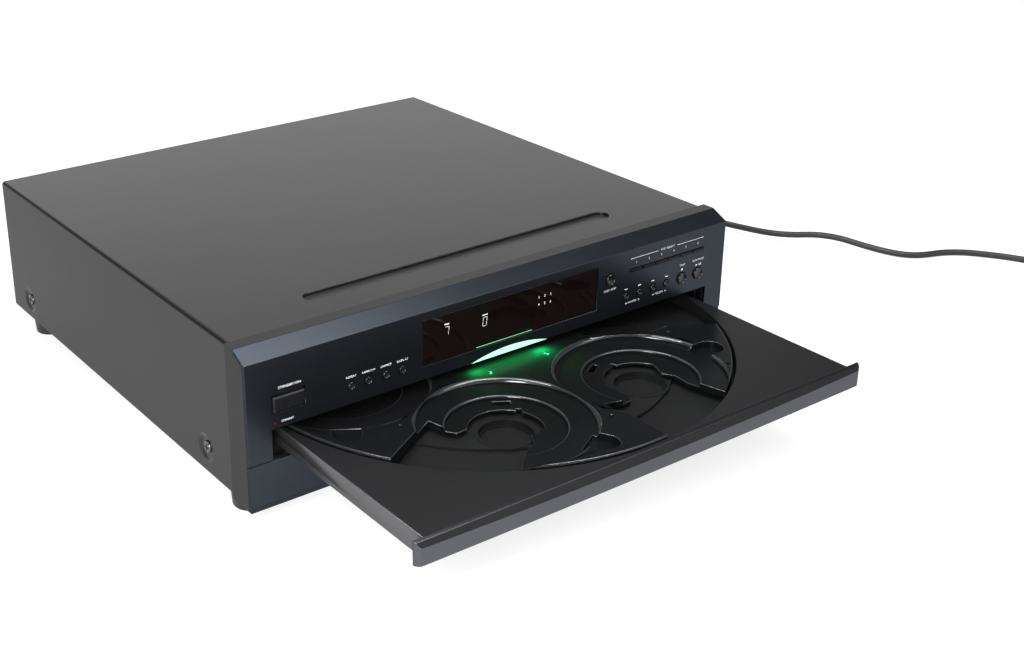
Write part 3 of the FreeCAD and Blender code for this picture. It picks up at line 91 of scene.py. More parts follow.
studio = {
    "fill": 0.50,                   # world seen by matt surfaces
    "ceiling": 0.08,                # the dark part overhead, in mirror rays only
    "ceilingFrom": (0.36, 0.66),    # sine of the height at which white starts and ends its fall
    "sides": (0.35, -1.0),          # how much sooner it falls towards the right and the left
    "floorTone": 0.26,              # the part of the floor that takes shadow
    "floorGlow": 0.80,              # the part that always reads as white
    "floorHalf": 7.0,
    "floorDrop": 0.0002,            # keeps the floor clear of the feet's undersides
}


def nodeTree(owner):
    owner.use_nodes = True
    tree = owner.node_tree
    tree.nodes.clear()
    return tree


# one sum in a node tree; each value is a number or another node's output
def mathNode(tree, operation, *values):
    node = tree.nodes.new("ShaderNodeMath")
    node.operation = operation
    for socket, value in zip(node.inputs, values):
        if isinstance(value, bpy.types.NodeSocket):
            tree.links.new(value, socket)
        else:
            socket.default_value = value
    return node.outputs[0]


# 1 for camera, mirror and glass rays, 0 for the rest
def seenDirectly(tree):
    path = tree.nodes.new("ShaderNodeLightPath")
    either = mathNode(tree, "MAXIMUM", path.outputs["Is Camera Ray"], path.outputs["Is Glossy Ray"])
    return mathNode(tree, "MAXIMUM", either, path.outputs["Is Transmission Ray"])


def makeWorld(s):
    world = bpy.data.worlds.new("studio")
    scene.world = world
    tree = nodeTree(world)
    soft = tree.nodes.new("ShaderNodeBackground")
    soft.inputs["Strength"].default_value = s["fill"]
    white = tree.nodes.new("ShaderNodeBackground")
    place = tree.nodes.new("ShaderNodeTexCoord")
    split = tree.nodes.new("ShaderNodeSeparateXYZ")
    fall = tree.nodes.new("ShaderNodeMapRange")
    fall.interpolation_type = "SMOOTHSTEP"
    fall.inputs["From Min"].default_value, fall.inputs["From Max"].default_value = s["ceilingFrom"]
    fall.inputs["To Min"].default_value = 1.0
    fall.inputs["To Max"].default_value = s["ceiling"]
    tree.links.new(place.outputs["Generated"], split.inputs[0])
    across, up = split.outputs["X"], split.outputs["Z"]
    leans = [mathNode(tree, "MULTIPLY_ADD", across, amount, up) for amount in s["sides"]]
    tree.links.new(mathNode(tree, "MAXIMUM", *leans), fall.inputs["Value"])
    path = tree.nodes.new("ShaderNodeLightPath")     # white all round for the camera itself
    backdrop = mathNode(tree, "MAXIMUM", fall.outputs[0], path.outputs["Is Camera Ray"])
    tree.links.new(backdrop, white.inputs["Strength"])
    mix = tree.nodes.new("ShaderNodeMixShader")
    out = tree.nodes.new("ShaderNodeOutputWorld")
    tree.links.new(seenDirectly(tree), mix.inputs[0])
    tree.links.new(soft.outputs[0], mix.inputs[1])
    tree.links.new(white.outputs[0], mix.inputs[2])
    tree.links.new(mix.outputs[0], out.inputs["Surface"])


def makeFloor(s):
    half = s["floorHalf"]
    corners = [(x * half, y * half, -s["floorDrop"]) for x, y in ((-1, -1), (1, -1), (1, 1), (-1, 1))]
    mesh = bpy.data.meshes.new("floor")
    mesh.from_pydata(corners, [], [(0, 1, 2, 3)])
    floor = bpy.data.objects.new("floor", mesh)
    scene.collection.objects.link(floor)
    material = bpy.data.materials.new("paperFloor")
    tree = nodeTree(material)
    matt = tree.nodes.new("ShaderNodeBsdfDiffuse")
    matt.inputs["Color"].default_value = (s["floorTone"],) * 3 + (1,)
    glow = tree.nodes.new("ShaderNodeEmission")
    level = mathNode(tree, "MULTIPLY", seenDirectly(tree), s["floorGlow"])
    add = tree.nodes.new("ShaderNodeAddShader")
    out = tree.nodes.new("ShaderNodeOutputMaterial")
    tree.links.new(level, glow.inputs["Strength"])
    tree.links.new(matt.outputs[0], add.inputs[0])
    tree.links.new(glow.outputs[0], add.inputs[1])
    tree.links.new(add.outputs[0], out.inputs["Surface"])
    mesh.materials.append(material)


lamps = {
    "back": {"place": (0.3, 1.5, 2.3), "aim": (0.0, 0.0, 0.1), "size": (2.6, 1.6), "power": 12.0},
    "left": {"place": (-1.9, -0.9, 1.6), "aim": (0.0, 0.0, 0.1), "size": (1.6, 1.2), "power": 9.0},
    "front": {"place": (1.5, -1.9, 1.3), "aim": (0.0, -0.1, 0.1), "size": (1.0, 1.2), "power": 5.0},
    "over": {"place": (0.67, -0.96, 1.30), "aim": (0.0, -0.13, 0.12), "size": (0.70, 0.60), "power": 6.5},
    "nearLeft": {"place": (-0.52, -0.56, 0.36), "aim": (-0.20, -0.13, 0.08), "size": (0.24, 0.24),
                 "power": 6.0},
    "horizon": {"place": (0.7, 1.3, 0.55), "aim": (0.0, 0.0, 0.1), "size": (1.9, 0.6), "power": 4.3},
    "top": {"place": (0.12, 0.04, 1.30), "aim": (0.0, -0.05, 0.1), "size": (0.85, 0.60), "power": 8.0},
    "stripRight": {"place": (0.345, -0.41, 1.40), "aim": (0.0, -0.17, 0.07), "size": (0.10, 0.64), "power": 9.0,
                   "turn": -34.8},
    "stripLeft": {"place": (-0.345, 0.07, 1.40), "aim": (0.0, -0.17, 0.07), "size": (0.10, 0.64), "power": 9.0,
                  "turn": -34.8},
}


def makeLamp(name, s, mirrored=True):
    data = bpy.data.lights.new(name, "AREA")
    data.shape = "RECTANGLE"
    data.size, data.size_y = s["size"]
    data.energy = s["power"]
    data.color = s.get("tint", (1, 1, 1))
    lamp = bpy.data.objects.new(name, data)
    place = Vector(s["place"])
    away = (place - Vector(s["aim"])).normalized()
    if "turn" in s:             # long side along this bearing, seen from above
        bearing = math.radians(s["turn"])
        along = Vector((math.cos(bearing), math.sin(bearing), 0))
    else:
        along = away.orthogonal() if abs(away.z) > 0.99 else Vector((0, 0, 1))
    along = (along - away * along.dot(away)).normalized()
    across = along.cross(away)
    lamp.matrix_world = Matrix.Translation(place) @ Matrix((across, along, away)).transposed().to_4x4()
    lamp.visible_glossy = mirrored
    scene.collection.objects.link(lamp)
    return lamp


makeWorld(studio)
makeFloor(studio)
for lampName, lampSet in lamps.items():
    makeLamp(lampName, lampSet)
scene.view_settings.view_transform = "Standard"
print("camera, floor and lamps placed")


finishes = {
    # colour, roughness, grain per metre, how far colour and roughness vary, bump depth in metres;
    # names with an underscore are the frame's own slots
    # painted shade: a darker copy of the cover's finish for its folds, dimples, bead walls and roundings
    "coverPaintedShade": {"tone": (0.006, 0.006, 0.0065), "rough": 0.30, "grain": 1500, "vary": 0.10,
                  "bump": 0.000004, "shine": 0.35},
    # painted shade for the tray's floor under the wells
    "trayWellPaintedShade": {"tone": (0.009, 0.009, 0.010), "rough": 0.36, "grain": 1500, "vary": 0.10, "bump": 0.000006,
                 "shine": 0.5},
    "cover_paint": {"tone": (0.044, 0.0435, 0.044), "rough": 0.30, "metal": 0.60, "grain": 2600, "vary": 0.10,
                    "bump": 0.000010, "shine": 0.20, "mirror": (0.60, 0.60, 0.60)},
    "fascia_blue": {"tone": (0.036, 0.041, 0.050), "rough": 0.30, "metal": 0.88, "grain": 900, "vary": 0.08,
                    "bump": 0.0000015, "stretch": (0.03, 1.0, 1.6), "shine": 0.20, "mirror": (0.42, 0.44, 0.47)},
    "frame_plastic": {"tone": (0.011, 0.011, 0.0115), "rough": 0.40, "grain": 1800, "vary": 0.10,
                      "bump": 0.000008, "shine": 0.12},
    "window_smoke": {"tone": (0.0050, 0.0026, 0.0022), "rough": 0.05, "grain": 60, "vary": 0.05, "bump": 0.0,
                     "shine": 0.45},
    "lamp_green": {"tone": (0.30, 0.60, 0.42), "rough": 0.25, "grain": 500, "vary": 0.04, "bump": 0.000004,
                   "glow": ((0.42, 1.0, 0.62), 0.85)},
    "lamp_red": {"tone": (0.030, 0.008, 0.009), "rough": 0.18, "grain": 500, "vary": 0.04, "bump": 0.0},
    "tube_glass": {"tone": (0.035, 0.045, 0.045), "rough": 0.08, "grain": 200, "vary": 0.05, "bump": 0.0},
    "board_green": {"tone": (0.030, 0.110, 0.055), "rough": 0.40, "grain": 700, "vary": 0.25, "bump": 0.00002},
    "zinc_steel": {"tone": (0.52, 0.53, 0.54), "rough": 0.36, "metal": 1.0, "grain": 220, "vary": 0.14,
                   "bump": 0.000006},
    "rear_paint": {"tone": (0.022, 0.022, 0.023), "rough": 0.48, "grain": 2200, "vary": 0.12, "bump": 0.000015},
    "screw_black": {"tone": (0.10, 0.10, 0.105), "rough": 0.25, "metal": 0.9, "grain": 1500, "vary": 0.15,
                    "bump": 0.000006},
    "rubber_black": {"tone": (0.010, 0.010, 0.011), "rough": 0.50, "grain": 1600, "vary": 0.15, "bump": 0.00002},
    "foot_black": {"tone": (0.012, 0.012, 0.013), "rough": 0.48, "grain": 1800, "vary": 0.12, "bump": 0.00001},
    "tray_black": {"tone": (0.020, 0.020, 0.021), "rough": 0.36, "metal": 0.62, "grain": 2400, "vary": 0.12,
                   "bump": 0.000006, "shine": 0.10, "mirror": (0.55, 0.55, 0.55)},
    # painted light: a lighter copy of tray_black for the tray's outer sides
    "traySidePaintedLight": {"tone": (0.110, 0.110, 0.113), "rough": 0.34, "metal": 0.80, "grain": 2400, "vary": 0.12,
                 "bump": 0.000006, "shine": 0.10, "mirror": (0.55, 0.55, 0.55)},
    "drawer_grey": {"tone": (0.092, 0.094, 0.105), "rough": 0.35, "metal": 0.95, "grain": 900, "vary": 0.08,
                    "bump": 0.000002, "stretch": (0.03, 1.0, 1.6), "shine": 0.20, "mirror": (0.60, 0.60, 0.62)},
    "frontGloss": {"tone": (0.030, 0.030, 0.033), "rough": 0.20, "metal": 0.70, "grain": 900, "vary": 0.08,
                   "bump": 0.000002, "shine": 0.20, "mirror": (0.60, 0.60, 0.62)},
    "table_black": {"tone": (0.0135, 0.014, 0.015), "rough": 0.22, "metal": 0.70, "grain": 2000, "vary": 0.12,
                    "bump": 0.000002, "shine": 0.10, "mirror": (0.55, 0.55, 0.55)},
    # painted highlight: a lighter, glossier copy of table_black for the table's roundings
    "tablePaintedHighlight": {"tone": (0.068, 0.069, 0.072), "rough": 0.17, "metal": 0.75, "grain": 2000, "vary": 0.10,
                  "bump": 0.000001, "shine": 0.10, "mirror": (0.55, 0.55, 0.55)},
    "nylon_white": {"tone": (0.72, 0.71, 0.66), "rough": 0.42, "grain": 500, "vary": 0.06, "bump": 0.000008},
    "motor_steel": {"tone": (0.55, 0.55, 0.56), "rough": 0.30, "metal": 1.0, "grain": 400, "vary": 0.12,
                    "bump": 0.000006},
    "mech_black": {"tone": (0.018, 0.018, 0.019), "rough": 0.46, "grain": 1500, "vary": 0.14, "bump": 0.00001},
    "button_dark": {"tone": (0.008, 0.0085, 0.010), "rough": 0.20, "grain": 1500, "vary": 0.10,
                    "bump": 0.000002, "shine": 0.4},
    "keyBlack": {"tone": (0.004, 0.004, 0.005), "rough": 0.25, "grain": 1500, "vary": 0.10, "bump": 0.000002,
                 "shine": 0.12},
    "powerFace": {"tone": (0.008, 0.008, 0.010), "rough": 0.26, "grain": 1500, "vary": 0.10, "bump": 0.000003,
                  "shine": 0.15},
    "jack_black": {"tone": (0.016, 0.016, 0.016), "rough": 0.30, "grain": 900, "vary": 0.10, "bump": 0.000004},
    "jack_nickel": {"tone": (0.62, 0.61, 0.59), "rough": 0.20, "metal": 1.0, "grain": 900, "vary": 0.10,
                    "bump": 0.000002},
    "ink": {"tone": (0.88, 0.89, 0.91), "rough": 0.50, "grain": 1500, "vary": 0.05, "bump": 0.000002},
    "tableInk": {"tone": (0.11, 0.115, 0.12), "rough": 0.42, "grain": 1500, "vary": 0.08, "bump": 0.000002},
    "digits": {"tone": (0.70, 0.76, 0.74), "rough": 0.30, "grain": 1500, "vary": 0.04, "bump": 0.0,
               "glow": ((0.86, 0.92, 0.88), 0.55)},
    # painted reflection: glowing green for the strip under the window
    "greenLine": {"tone": (0.10, 0.40, 0.20), "rough": 0.30, "grain": 500, "vary": 0.04, "bump": 0.0,
                  "glow": ((0.16, 0.75, 0.36), 0.75)},
    "ringWhite": {"tone": (0.74, 0.74, 0.72), "rough": 0.35, "grain": 800, "vary": 0.06, "bump": 0.000004},
    "ringRed": {"tone": (0.48, 0.030, 0.028), "rough": 0.35, "grain": 800, "vary": 0.08, "bump": 0.000004},
}


blotches = {"scale": 9.0, "share": 0.35, "range": (0.3, 0.7)}     # the slow change over a whole piece


def makeFinish(name, s):
    material = bpy.data.materials.new(name)
    tree = nodeTree(material)
    make, link = tree.nodes.new, tree.links.new
    out = make("ShaderNodeOutputMaterial")
    shader = make("ShaderNodeBsdfPrincipled")
    link(shader.outputs[0], out.inputs["Surface"])
    shader.inputs["Metallic"].default_value = s.get("metal", 0.0)
    shader.inputs["Specular IOR Level"].default_value = s.get("shine", 0.5)
    shader.inputs["Specular Tint"].default_value = s.get("mirror", (1, 1, 1)) + (1,)
    place = make("ShaderNodeTexCoord")
    spread = make("ShaderNodeMapping")
    spread.inputs["Scale"].default_value = s.get("stretch", (1, 1, 1))
    link(place.outputs["Object"], spread.inputs["Vector"])
    fine = make("ShaderNodeTexNoise")
    fine.inputs["Scale"].default_value = s["grain"]
    fine.inputs["Detail"].default_value = 3.0
    link(spread.outputs[0], fine.inputs["Vector"])
    broad = make("ShaderNodeTexNoise")
    broad.inputs["Scale"].default_value = blotches["scale"]
    broad.inputs["Detail"].default_value = 2.0
    link(place.outputs["Object"], broad.inputs["Vector"])
    both = make("ShaderNodeMix")
    both.inputs[0].default_value = blotches["share"]
    link(fine.outputs[0], both.inputs[2])
    link(broad.outputs[0], both.inputs[3])
    low, high = 1 - s["vary"], 1 + s["vary"]
    tint = make("ShaderNodeValToRGB")
    for stop, spot, level in zip(tint.color_ramp.elements, blotches["range"], (low, high)):
        stop.position = spot
        stop.color = tuple(min(part * level, 1) for part in s["tone"]) + (1,)
    link(both.outputs[0], tint.inputs[0])
    link(tint.outputs[0], shader.inputs["Base Color"])
    satin = make("ShaderNodeMapRange")
    satin.inputs["From Min"].default_value, satin.inputs["From Max"].default_value = blotches["range"]
    satin.inputs["To Min"].default_value = s["rough"] * low
    satin.inputs["To Max"].default_value = s["rough"] * high
    link(both.outputs[0], satin.inputs[0])
    link(satin.outputs[0], shader.inputs["Roughness"])
    if s["bump"]:
        relief = make("ShaderNodeBump")
        relief.inputs["Strength"].default_value = 1.0
        relief.inputs["Distance"].default_value = s["bump"]
        link(fine.outputs[0], relief.inputs["Height"])
        link(relief.outputs[0], shader.inputs["Normal"])
    if "glow" in s:
        colour, strength = s["glow"]
        shader.inputs["Emission Color"].default_value = colour + (1,)
        shader.inputs["Emission Strength"].default_value = strength
    return material


finish = {name: makeFinish(name, s) for name, s in finishes.items()}

slotOf = {}
bodyOf = {}
for part in frame["record"]["subparts"]:
    slotOf[part["node"]] = part["material_slot"]
for body, members in frame["record"]["behaviour"]["bodies"].items():
    for member in members:
        bodyOf[member] = body
for nodeName, node in nodes.items():
    node.data.materials.clear()
    node.data.materials.append(finish[slotOf[nodeName]])
print("finishes made:", len(finish))


def place(name, mesh, body, slot=None, material=None):
    piece = bpy.data.objects.new(name, mesh)
    scene.collection.objects.link(piece)
    if (material or slot) and not mesh.materials:
        mesh.materials.append(finish[material or slot])
    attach(piece, body)
    return piece


cleaning = {"weld": 0.000004, "flat": 0.4}     # metres and degrees


def weldedShape(nodeName):
    skin = bmesh.new()
    skin.from_mesh(nodes[nodeName].data)
    bmesh.ops.remove_doubles(skin, verts=skin.verts, dist=cleaning["weld"])
    return skin


# the node's surface as one clean skin with its flat faces whole
def copyShape(nodeName):
    skin = weldedShape(nodeName)
    bmesh.ops.dissolve_limit(skin, angle_limit=math.radians(cleaning["flat"]), verts=skin.verts,
                             edges=skin.edges, delimit={"NORMAL"})
    return skin


def sharpEdge(edge, limit):
    if len(edge.link_faces) != 2:
        return False
    return edge.calc_face_angle(0) > limit


roundingSet = {
    "step": 0.0015,             # spacing of the test points along an edge
    "least": 0.00005,           # an edge nearer than this is the same edge
    "ahead": 0.0002,            # how far past its ends an edge looks for others
    "share": 0.45,              # part of the gap to another outer edge that the rounding may take
    "shareInner": 0.85,         # and of the gap to an inner edge
    "growth": 0.35,
    "growthTurns": 6,
    "flatWeight": 70,
}


# how wide each outer edge may be rounded before it meets the next edge that runs beside it
def roomBeside(edges, width):
    s = roundingSet
    reach = width / s["share"] + s["step"]
    spots = []
    for index, edge in enumerate(edges):
        start, end = (vert.co for vert in edge.verts)
        count = max(1, int((end - start).length / s["step"]))
        spots += [(start.lerp(end, (step + 0.5) / count), index) for step in range(count)]
    tree = KDTree(len(spots))
    for number, (spot, index) in enumerate(spots):
        tree.insert(spot, number)
    tree.balance()
    factor = [s["share"] if edge.is_convex else s["shareInner"] for edge in edges]
    room = [width if edge.is_convex else 0.0 for edge in edges]
    for spot, index in spots:
        edge = edges[index]
        if not edge.is_convex:
            continue
        start, end = (vert.co for vert in edge.verts)
        along = (end - start).normalized()
        middle, half = (start + end) / 2, (end - start).length / 2
        for near, number, gap in tree.find_range(spot, reach):
            rival = spots[number][1]
            other = edges[rival]
            if other is edge or other.verts[0] in edge.verts or other.verts[1] in edge.verts:
                continue
            offset = near - middle
            run = offset.dot(along)
            beside = (offset - along * run).length
            if abs(run) < half + s["ahead"] and beside > s["least"]:
                room[index] = min(room[index], beside * factor[rival])
    return room


# a copy of the node with its edges rounded; share(middle) gives how much of the width each edge takes
def soften(nodeName, pieceName, width, segments=2, share=None, limit=32, reshape=None, material=None,
           skin=None):
    skin = skin or copyShape(nodeName)
    if reshape:
        reshape(skin)
    weight = skin.edges.layers.float.new("bevel_weight_edge")
    bound = math.radians(limit)
    sharp = [edge for edge in skin.edges if sharpEdge(edge, bound)]
    for edge, free in zip(sharp, roomBeside(sharp, width)):
        middle = (edge.verts[0].co + edge.verts[1].co) / 2
        part = share(middle) if share else 1.0
        edge[weight] = min(part, free / width)
        edge.smooth = edge[weight] > 0
    for turn in range(roundingSet["growthTurns"]):      # the rounding grows slowly along a run of edges
        for edge in sharp:
            for vert in edge.verts:
                beside = [other for other in vert.link_edges if other is not edge and other[weight] > 0]
                if len(beside) == 1 and edge[weight] > 0:
                    grown = roundingSet["growth"] * (edge.calc_length() + beside[0].calc_length()) / 2 / width
                    edge[weight] = min(edge[weight], beside[0][weight] + grown)
    for face in skin.faces:
        face.smooth = True
    mesh = bpy.data.meshes.new(pieceName)
    skin.to_mesh(mesh)
    skin.free()
    piece = place(pieceName, mesh, bodyOf[nodeName], slotOf[nodeName], material)
    bevel = piece.modifiers.new("edges", "BEVEL")
    bevel.width = width
    bevel.segments = segments
    bevel.limit_method = "WEIGHT"
    bevel.use_clamp_overlap = False
    normals = piece.modifiers.new("flats", "WEIGHTED_NORMAL")
    normals.mode = "FACE_AREA"
    normals.weight = roundingSet["flatWeight"]
    normals.keep_sharp = True
    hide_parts(nodeName)
    return piece


print("edges of the outer pieces")
softened = {
    # node: piece, width of the rounding in metres, segments, finish where it isn't the slot's own
    "power_button": ("powerKey", 0.0004, 3, "powerFace"),
    "feet": ("feetMoulded", 0.0006, 2, None),
    "rear_jacks": ("jackField", 0.0002, 2, None),
    "optical_jack": ("opticalSocket", 0.0003, 2, None),
    "mains_plug": ("plugMoulded", 0.0005, 2, None),
    "chin_panel": ("chinStrip", 0.0004, 2, None),
    "front_panel": ("fasciaPlate", 0.0003, 3, None),
    "display_window": ("windowPane", 0.0002, 2, None),
}
for nodeName, (pieceName, width, segments, material) in softened.items():
    soften(nodeName, pieceName, width, segments, material=material)
for index in range(1, 7):
    soften("disc_key_%d" % index, "discKey%d" % index, 0.0003, material="keyBlack")

frontSet = {
    "bow": 1.2,                 # how far the ends stand behind the middle of the face
    "corner": 4.5,              # rounding of the upright ends, seen from above
    "strip": 2.7,               # depth of the flat strip along the top
    "facetFoot": 6.0,           # how far the sloped facet reaches down in the middle
    "stripFall": 0.8,           # how far the strip slopes down to the front
    "least": 0.35,              # the facet never gets narrower than this
    "edge": 0.0005,
    "stations": 56,
    "cornerSteps": 8,
}


# the drawer's bar: bowed face, a facet that narrows to both ends and a flat strip on top
def makeDrawerFront(s):
    low, high = ([value * 1000 for value in corner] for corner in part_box("drawer_front"))
    half, front, back = high[0], low[1], high[1]
    straight = half - s["corner"]
    plan = [(x * straight / s["stations"], 0.0) for x in range(-s["stations"], s["stations"] + 1, 2)]
    turns = [math.radians(90 * step / s["cornerSteps"]) for step in range(1, s["cornerSteps"] + 1)]
    ends = [(s["corner"] * math.sin(turn), s["corner"] * (1 - math.cos(turn))) for turn in turns]
    plan = [(-straight - x, y) for x, y in reversed(ends)] + plan + [(straight + x, y) for x, y in ends]
    edgeY = back - s["strip"]
    slope = s["facetFoot"] / (edgeY - front)
    skin = bmesh.new()
    rows = []
    for x, inset in plan:
        y = front + s["bow"] * (x / half) ** 2 + inset
        lip = max(edgeY, y + s["least"])
        lipZ = high[2] - s["stripFall"] * (back - lip) / s["strip"]
        foot = lipZ - max(slope * (lip - y), s["least"])
        profile = ((back, low[2]), (y, low[2]), (y, foot), (lip, lipZ), (back, high[2]))
        rows.append([skin.verts.new((x / 1000, py / 1000, pz / 1000)) for py, pz in profile])
    for one, two in zip(rows, rows[1:]):
        for index in range(5):
            after = (index + 1) % 5
            skin.faces.new((one[index], one[after], two[after], two[index]))
    skin.faces.new(rows[0])
    skin.faces.new(rows[-1][::-1])
    bmesh.ops.recalc_face_normals(skin, faces=skin.faces)
    for face in skin.faces:
        face.material_index = 1 if face.normal.z > 0.3 else 0
    bar = soften("drawer_front", "drawerFront", s["edge"], 3, limit=20, skin=skin)
    bar.data.materials.append(finish["frontGloss"])     # the strip and the facet are dark and glossy


makeDrawerFront(frontSet)

screwSet = {
    "head": 4.5,
    "rise": 1.9,                # height of the head
    "shank": 1.6,
    "reach": 6.6,               # how far the shank goes in from the head's face
    "crown": [(1.0, 0.9), (0.93, 0.4), (0.72, 0.1), (0.45, 0.0)],     # shares of the radius and drops
    "cross": (0.60, 2.6),       # half width and half length of the recess
    "crossDepth": 1.1,
    "steps": 28,
}


# lowest and highest corner of each screw on the cover and the rear
def findScrews():
    source = weldedShape("cover_screws")
    loose = set(source.verts)
    spots = []
    while loose:
        queue = [loose.pop()]
        found = list(queue)
        while queue:
            here = queue.pop()
            for edge in here.link_edges:
                other = edge.other_vert(here)
                if other in loose:
                    loose.discard(other)
                    queue.append(other)
                    found.append(other)
        low = Vector([min(v.co[i] for v in found) for i in range(3)])
        high = Vector([max(v.co[i] for v in found) for i in range(3)])
        spots.append((low, high))
    source.free()
    return sorted(spots, key=lambda spot: (round(spot[0].x, 4), round(spot[0].y, 4)))


screwSpots = findScrews()
coverHigh = Vector(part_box("top_cover")[1])


def atBack(high):
    return high.y > coverHigh.y - 0.001


# the way a screw points and the middle of its head's face
def screwSeat(low, high):
    middle = (low + high) / 2
    if atBack(high):
        return Vector((0, 1, 0)), Vector((middle.x, high.y, middle.z))
    if middle.x < 0:
        return Vector((-1, 0, 0)), Vector((low.x, middle.y, middle.z))
    return Vector((1, 0, 0)), Vector((high.x, middle.y, middle.z))


coverSet = {
    "edge": 0.7,
    "beadY": (-102.0, -60.0),       # the strip of the cover that holds the bead
    "beadX": 170.0,
    "beadDepth": (0.6, 4.0),        # below the top, what belongs to the bead
    "beadDrop": 1.4,                # how much deeper it is pressed
    "beadSteep": 0.9,
    "fold": 3.2,                    # width of the long folds
    "foldLean": (0.12, 0.985),      # how far up their faces look
    "dimple": (4.0, 9.8),           # the rings of a screw's dimple that are opened
    "dimpleGrowth": 1.25,
    # the dimple's faces nearer than this take the painted shade
    "dimplePaintedShade": 11.6,
    "skin": 0.1,                    # a face this far in isn't on the flat outside
}


def onBead(spot):
    s = coverSet
    return s["beadY"][0] < spot.y * 1000 < s["beadY"][1] and abs(spot.x) * 1000 < s["beadX"]


# presses the long bead on the cover a little deeper
def deepenBead(skin):
    s = coverSet
    for vert in skin.verts:
        if onBead(vert.co) and s["beadDepth"][0] < (coverHigh.z - vert.co.z) * 1000 < s["beadDepth"][1]:
            vert.co.z -= s["beadDrop"] / 1000


# opens the screws' dimples in the cover's sides and gives their faces painted shade
def openDimples(skin):
    s = coverSet
    for low, high in screwSpots:
        middle = (low + high) / 2
        if atBack(high):
            continue
        for vert in skin.verts:
            offset = Vector((0, vert.co.y - middle.y, vert.co.z - middle.z))
            if vert.co.x * middle.x > 0 and s["dimple"][0] < offset.length * 1000 < s["dimple"][1]:
                vert.co += offset * (s["dimpleGrowth"] - 1)
        for face in skin.faces:
            spot = face.calc_center_median()
            reach = math.hypot(spot.y - middle.y, spot.z - middle.z) * 1000
            sunk = abs(spot.x) < coverHigh.x - s["skin"] / 1000
            if spot.x * middle.x > 0 and sunk and reach < s["dimplePaintedShade"]:
                face.material_index = 1


# painted shade: the folds and the bead's walls take the darker finish
def markDark(skin):
    s = coverSet
    for face in skin.faces:
        spot = face.calc_center_median()
        leaning = s["foldLean"][0] < face.normal.z < s["foldLean"][1]
        if leaning and abs(spot.x) > coverHigh.x - s["fold"] / 1000:
            face.material_index = 1
        if onBead(spot) and spot.z < coverHigh.z - s["skin"] / 1000 and abs(face.normal.z) < s["beadSteep"]:
            face.material_index = 1


def shapeCover(skin):
    deepenBead(skin)
    openDimples(skin)
    skin.normal_update()
    markDark(skin)


cover = soften("top_cover", "coverShell", coverSet["edge"] / 1000, 3, reshape=shapeCover)
cover.data.materials.append(finish["coverPaintedShade"])     # painted shade on the folds, dimples, the bead's walls and the cover's roundings
cover.modifiers["edges"].material = 1

tableSet = {
    "pitch": 122.4,             # radius of the circle of wells
    "firstWell": -60.0,         # bearing of one of them
    "wells": 6,
    "hubRise": 2.0,             # the hub stands this far above the land
    "rim": (60.2, 61.6),        # radii between which a well's rim lies
    "rimDepth": 0.2,
    "inner": (40.4, 41.8),
    "innerDepth": (2.6, 3.4),
    "depth": 7.0,               # nothing lower is rounded
    "width": 2.5,               # rounding, and the shares of it for the rims, the inner rims and the rest
    "shares": (1.0, 0.45, 0.17),
}
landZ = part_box("disc_table")[1][2] - tableSet["hubRise"] / 1000
low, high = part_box("table_screw")
tableMiddle = Vector(((low[0] + high[0]) / 2, (low[1] + high[1]) / 2, 0))


# wide rounding on the wells' rims, less on the rest of the table's upper side
def tableShare(middle):
    s = tableSet
    depth = (landZ - middle.z) * 1000
    if depth > s["depth"]:
        return 0.0
    spot = (middle - tableMiddle) * 1000
    for index in range(s["wells"]):
        turn = math.radians(s["firstWell"] + 360 / s["wells"] * index)
        reach = math.hypot(spot.x - s["pitch"] * math.cos(turn), spot.y - s["pitch"] * math.sin(turn))
        if s["rim"][0] < reach < s["rim"][1] and depth < s["rimDepth"]:
            return s["shares"][0]
        if s["inner"][0] < reach < s["inner"][1] and s["innerDepth"][0] < depth < s["innerDepth"][1]:
            return s["shares"][1]
    return s["shares"][2]


table = soften("disc_table", "discTable", tableSet["width"] / 1000, 5, share=tableShare)
table.data.materials.append(finish["tablePaintedHighlight"])     # painted highlight: the roundings take a lighter, glossier copy of the table's finish
table.modifiers["edges"].material = 1


traySet = {
    "edge": 0.5,
    "roundedFrom": 64.0,        # height above which the edges are rounded
    "side": 6.0,                # the outer sides lie in this strip
    "floor": 6.0,               # and the floor under the wells lies lower than this above the tray's underside
    "facing": 0.7,
}


# painted light: the tray's outer sides take a lighter, glossier copy of its finish; painted shade: the floor
# under the wells takes a darker one
def markTray(skin):
    s = traySet
    low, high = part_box("drawer_tray")
    inner = high[0] - s["side"] / 1000
    skin.normal_update()
    for face in skin.faces:
        spot = face.calc_center_median()
        if abs(face.normal.x) > s["facing"] and abs(spot.x) > inner:
            face.material_index = 1
        elif face.normal.z > s["facing"] and spot.z < low[2] + s["floor"] / 1000 and abs(spot.x) < inner:
            face.material_index = 2


def trayShare(middle):
    return 1.0 if middle.z * 1000 > traySet["roundedFrom"] else 0.0


tray = soften("drawer_tray", "drawerTray", traySet["edge"] / 1000, 3, share=trayShare, reshape=markTray)
# the painted light for the sides and the painted shade for the floor under the wells
for name in ("traySidePaintedLight", "trayWellPaintedShade"):
    tray.data.materials.append(finish[name])
print("cover, table and tray shaped")

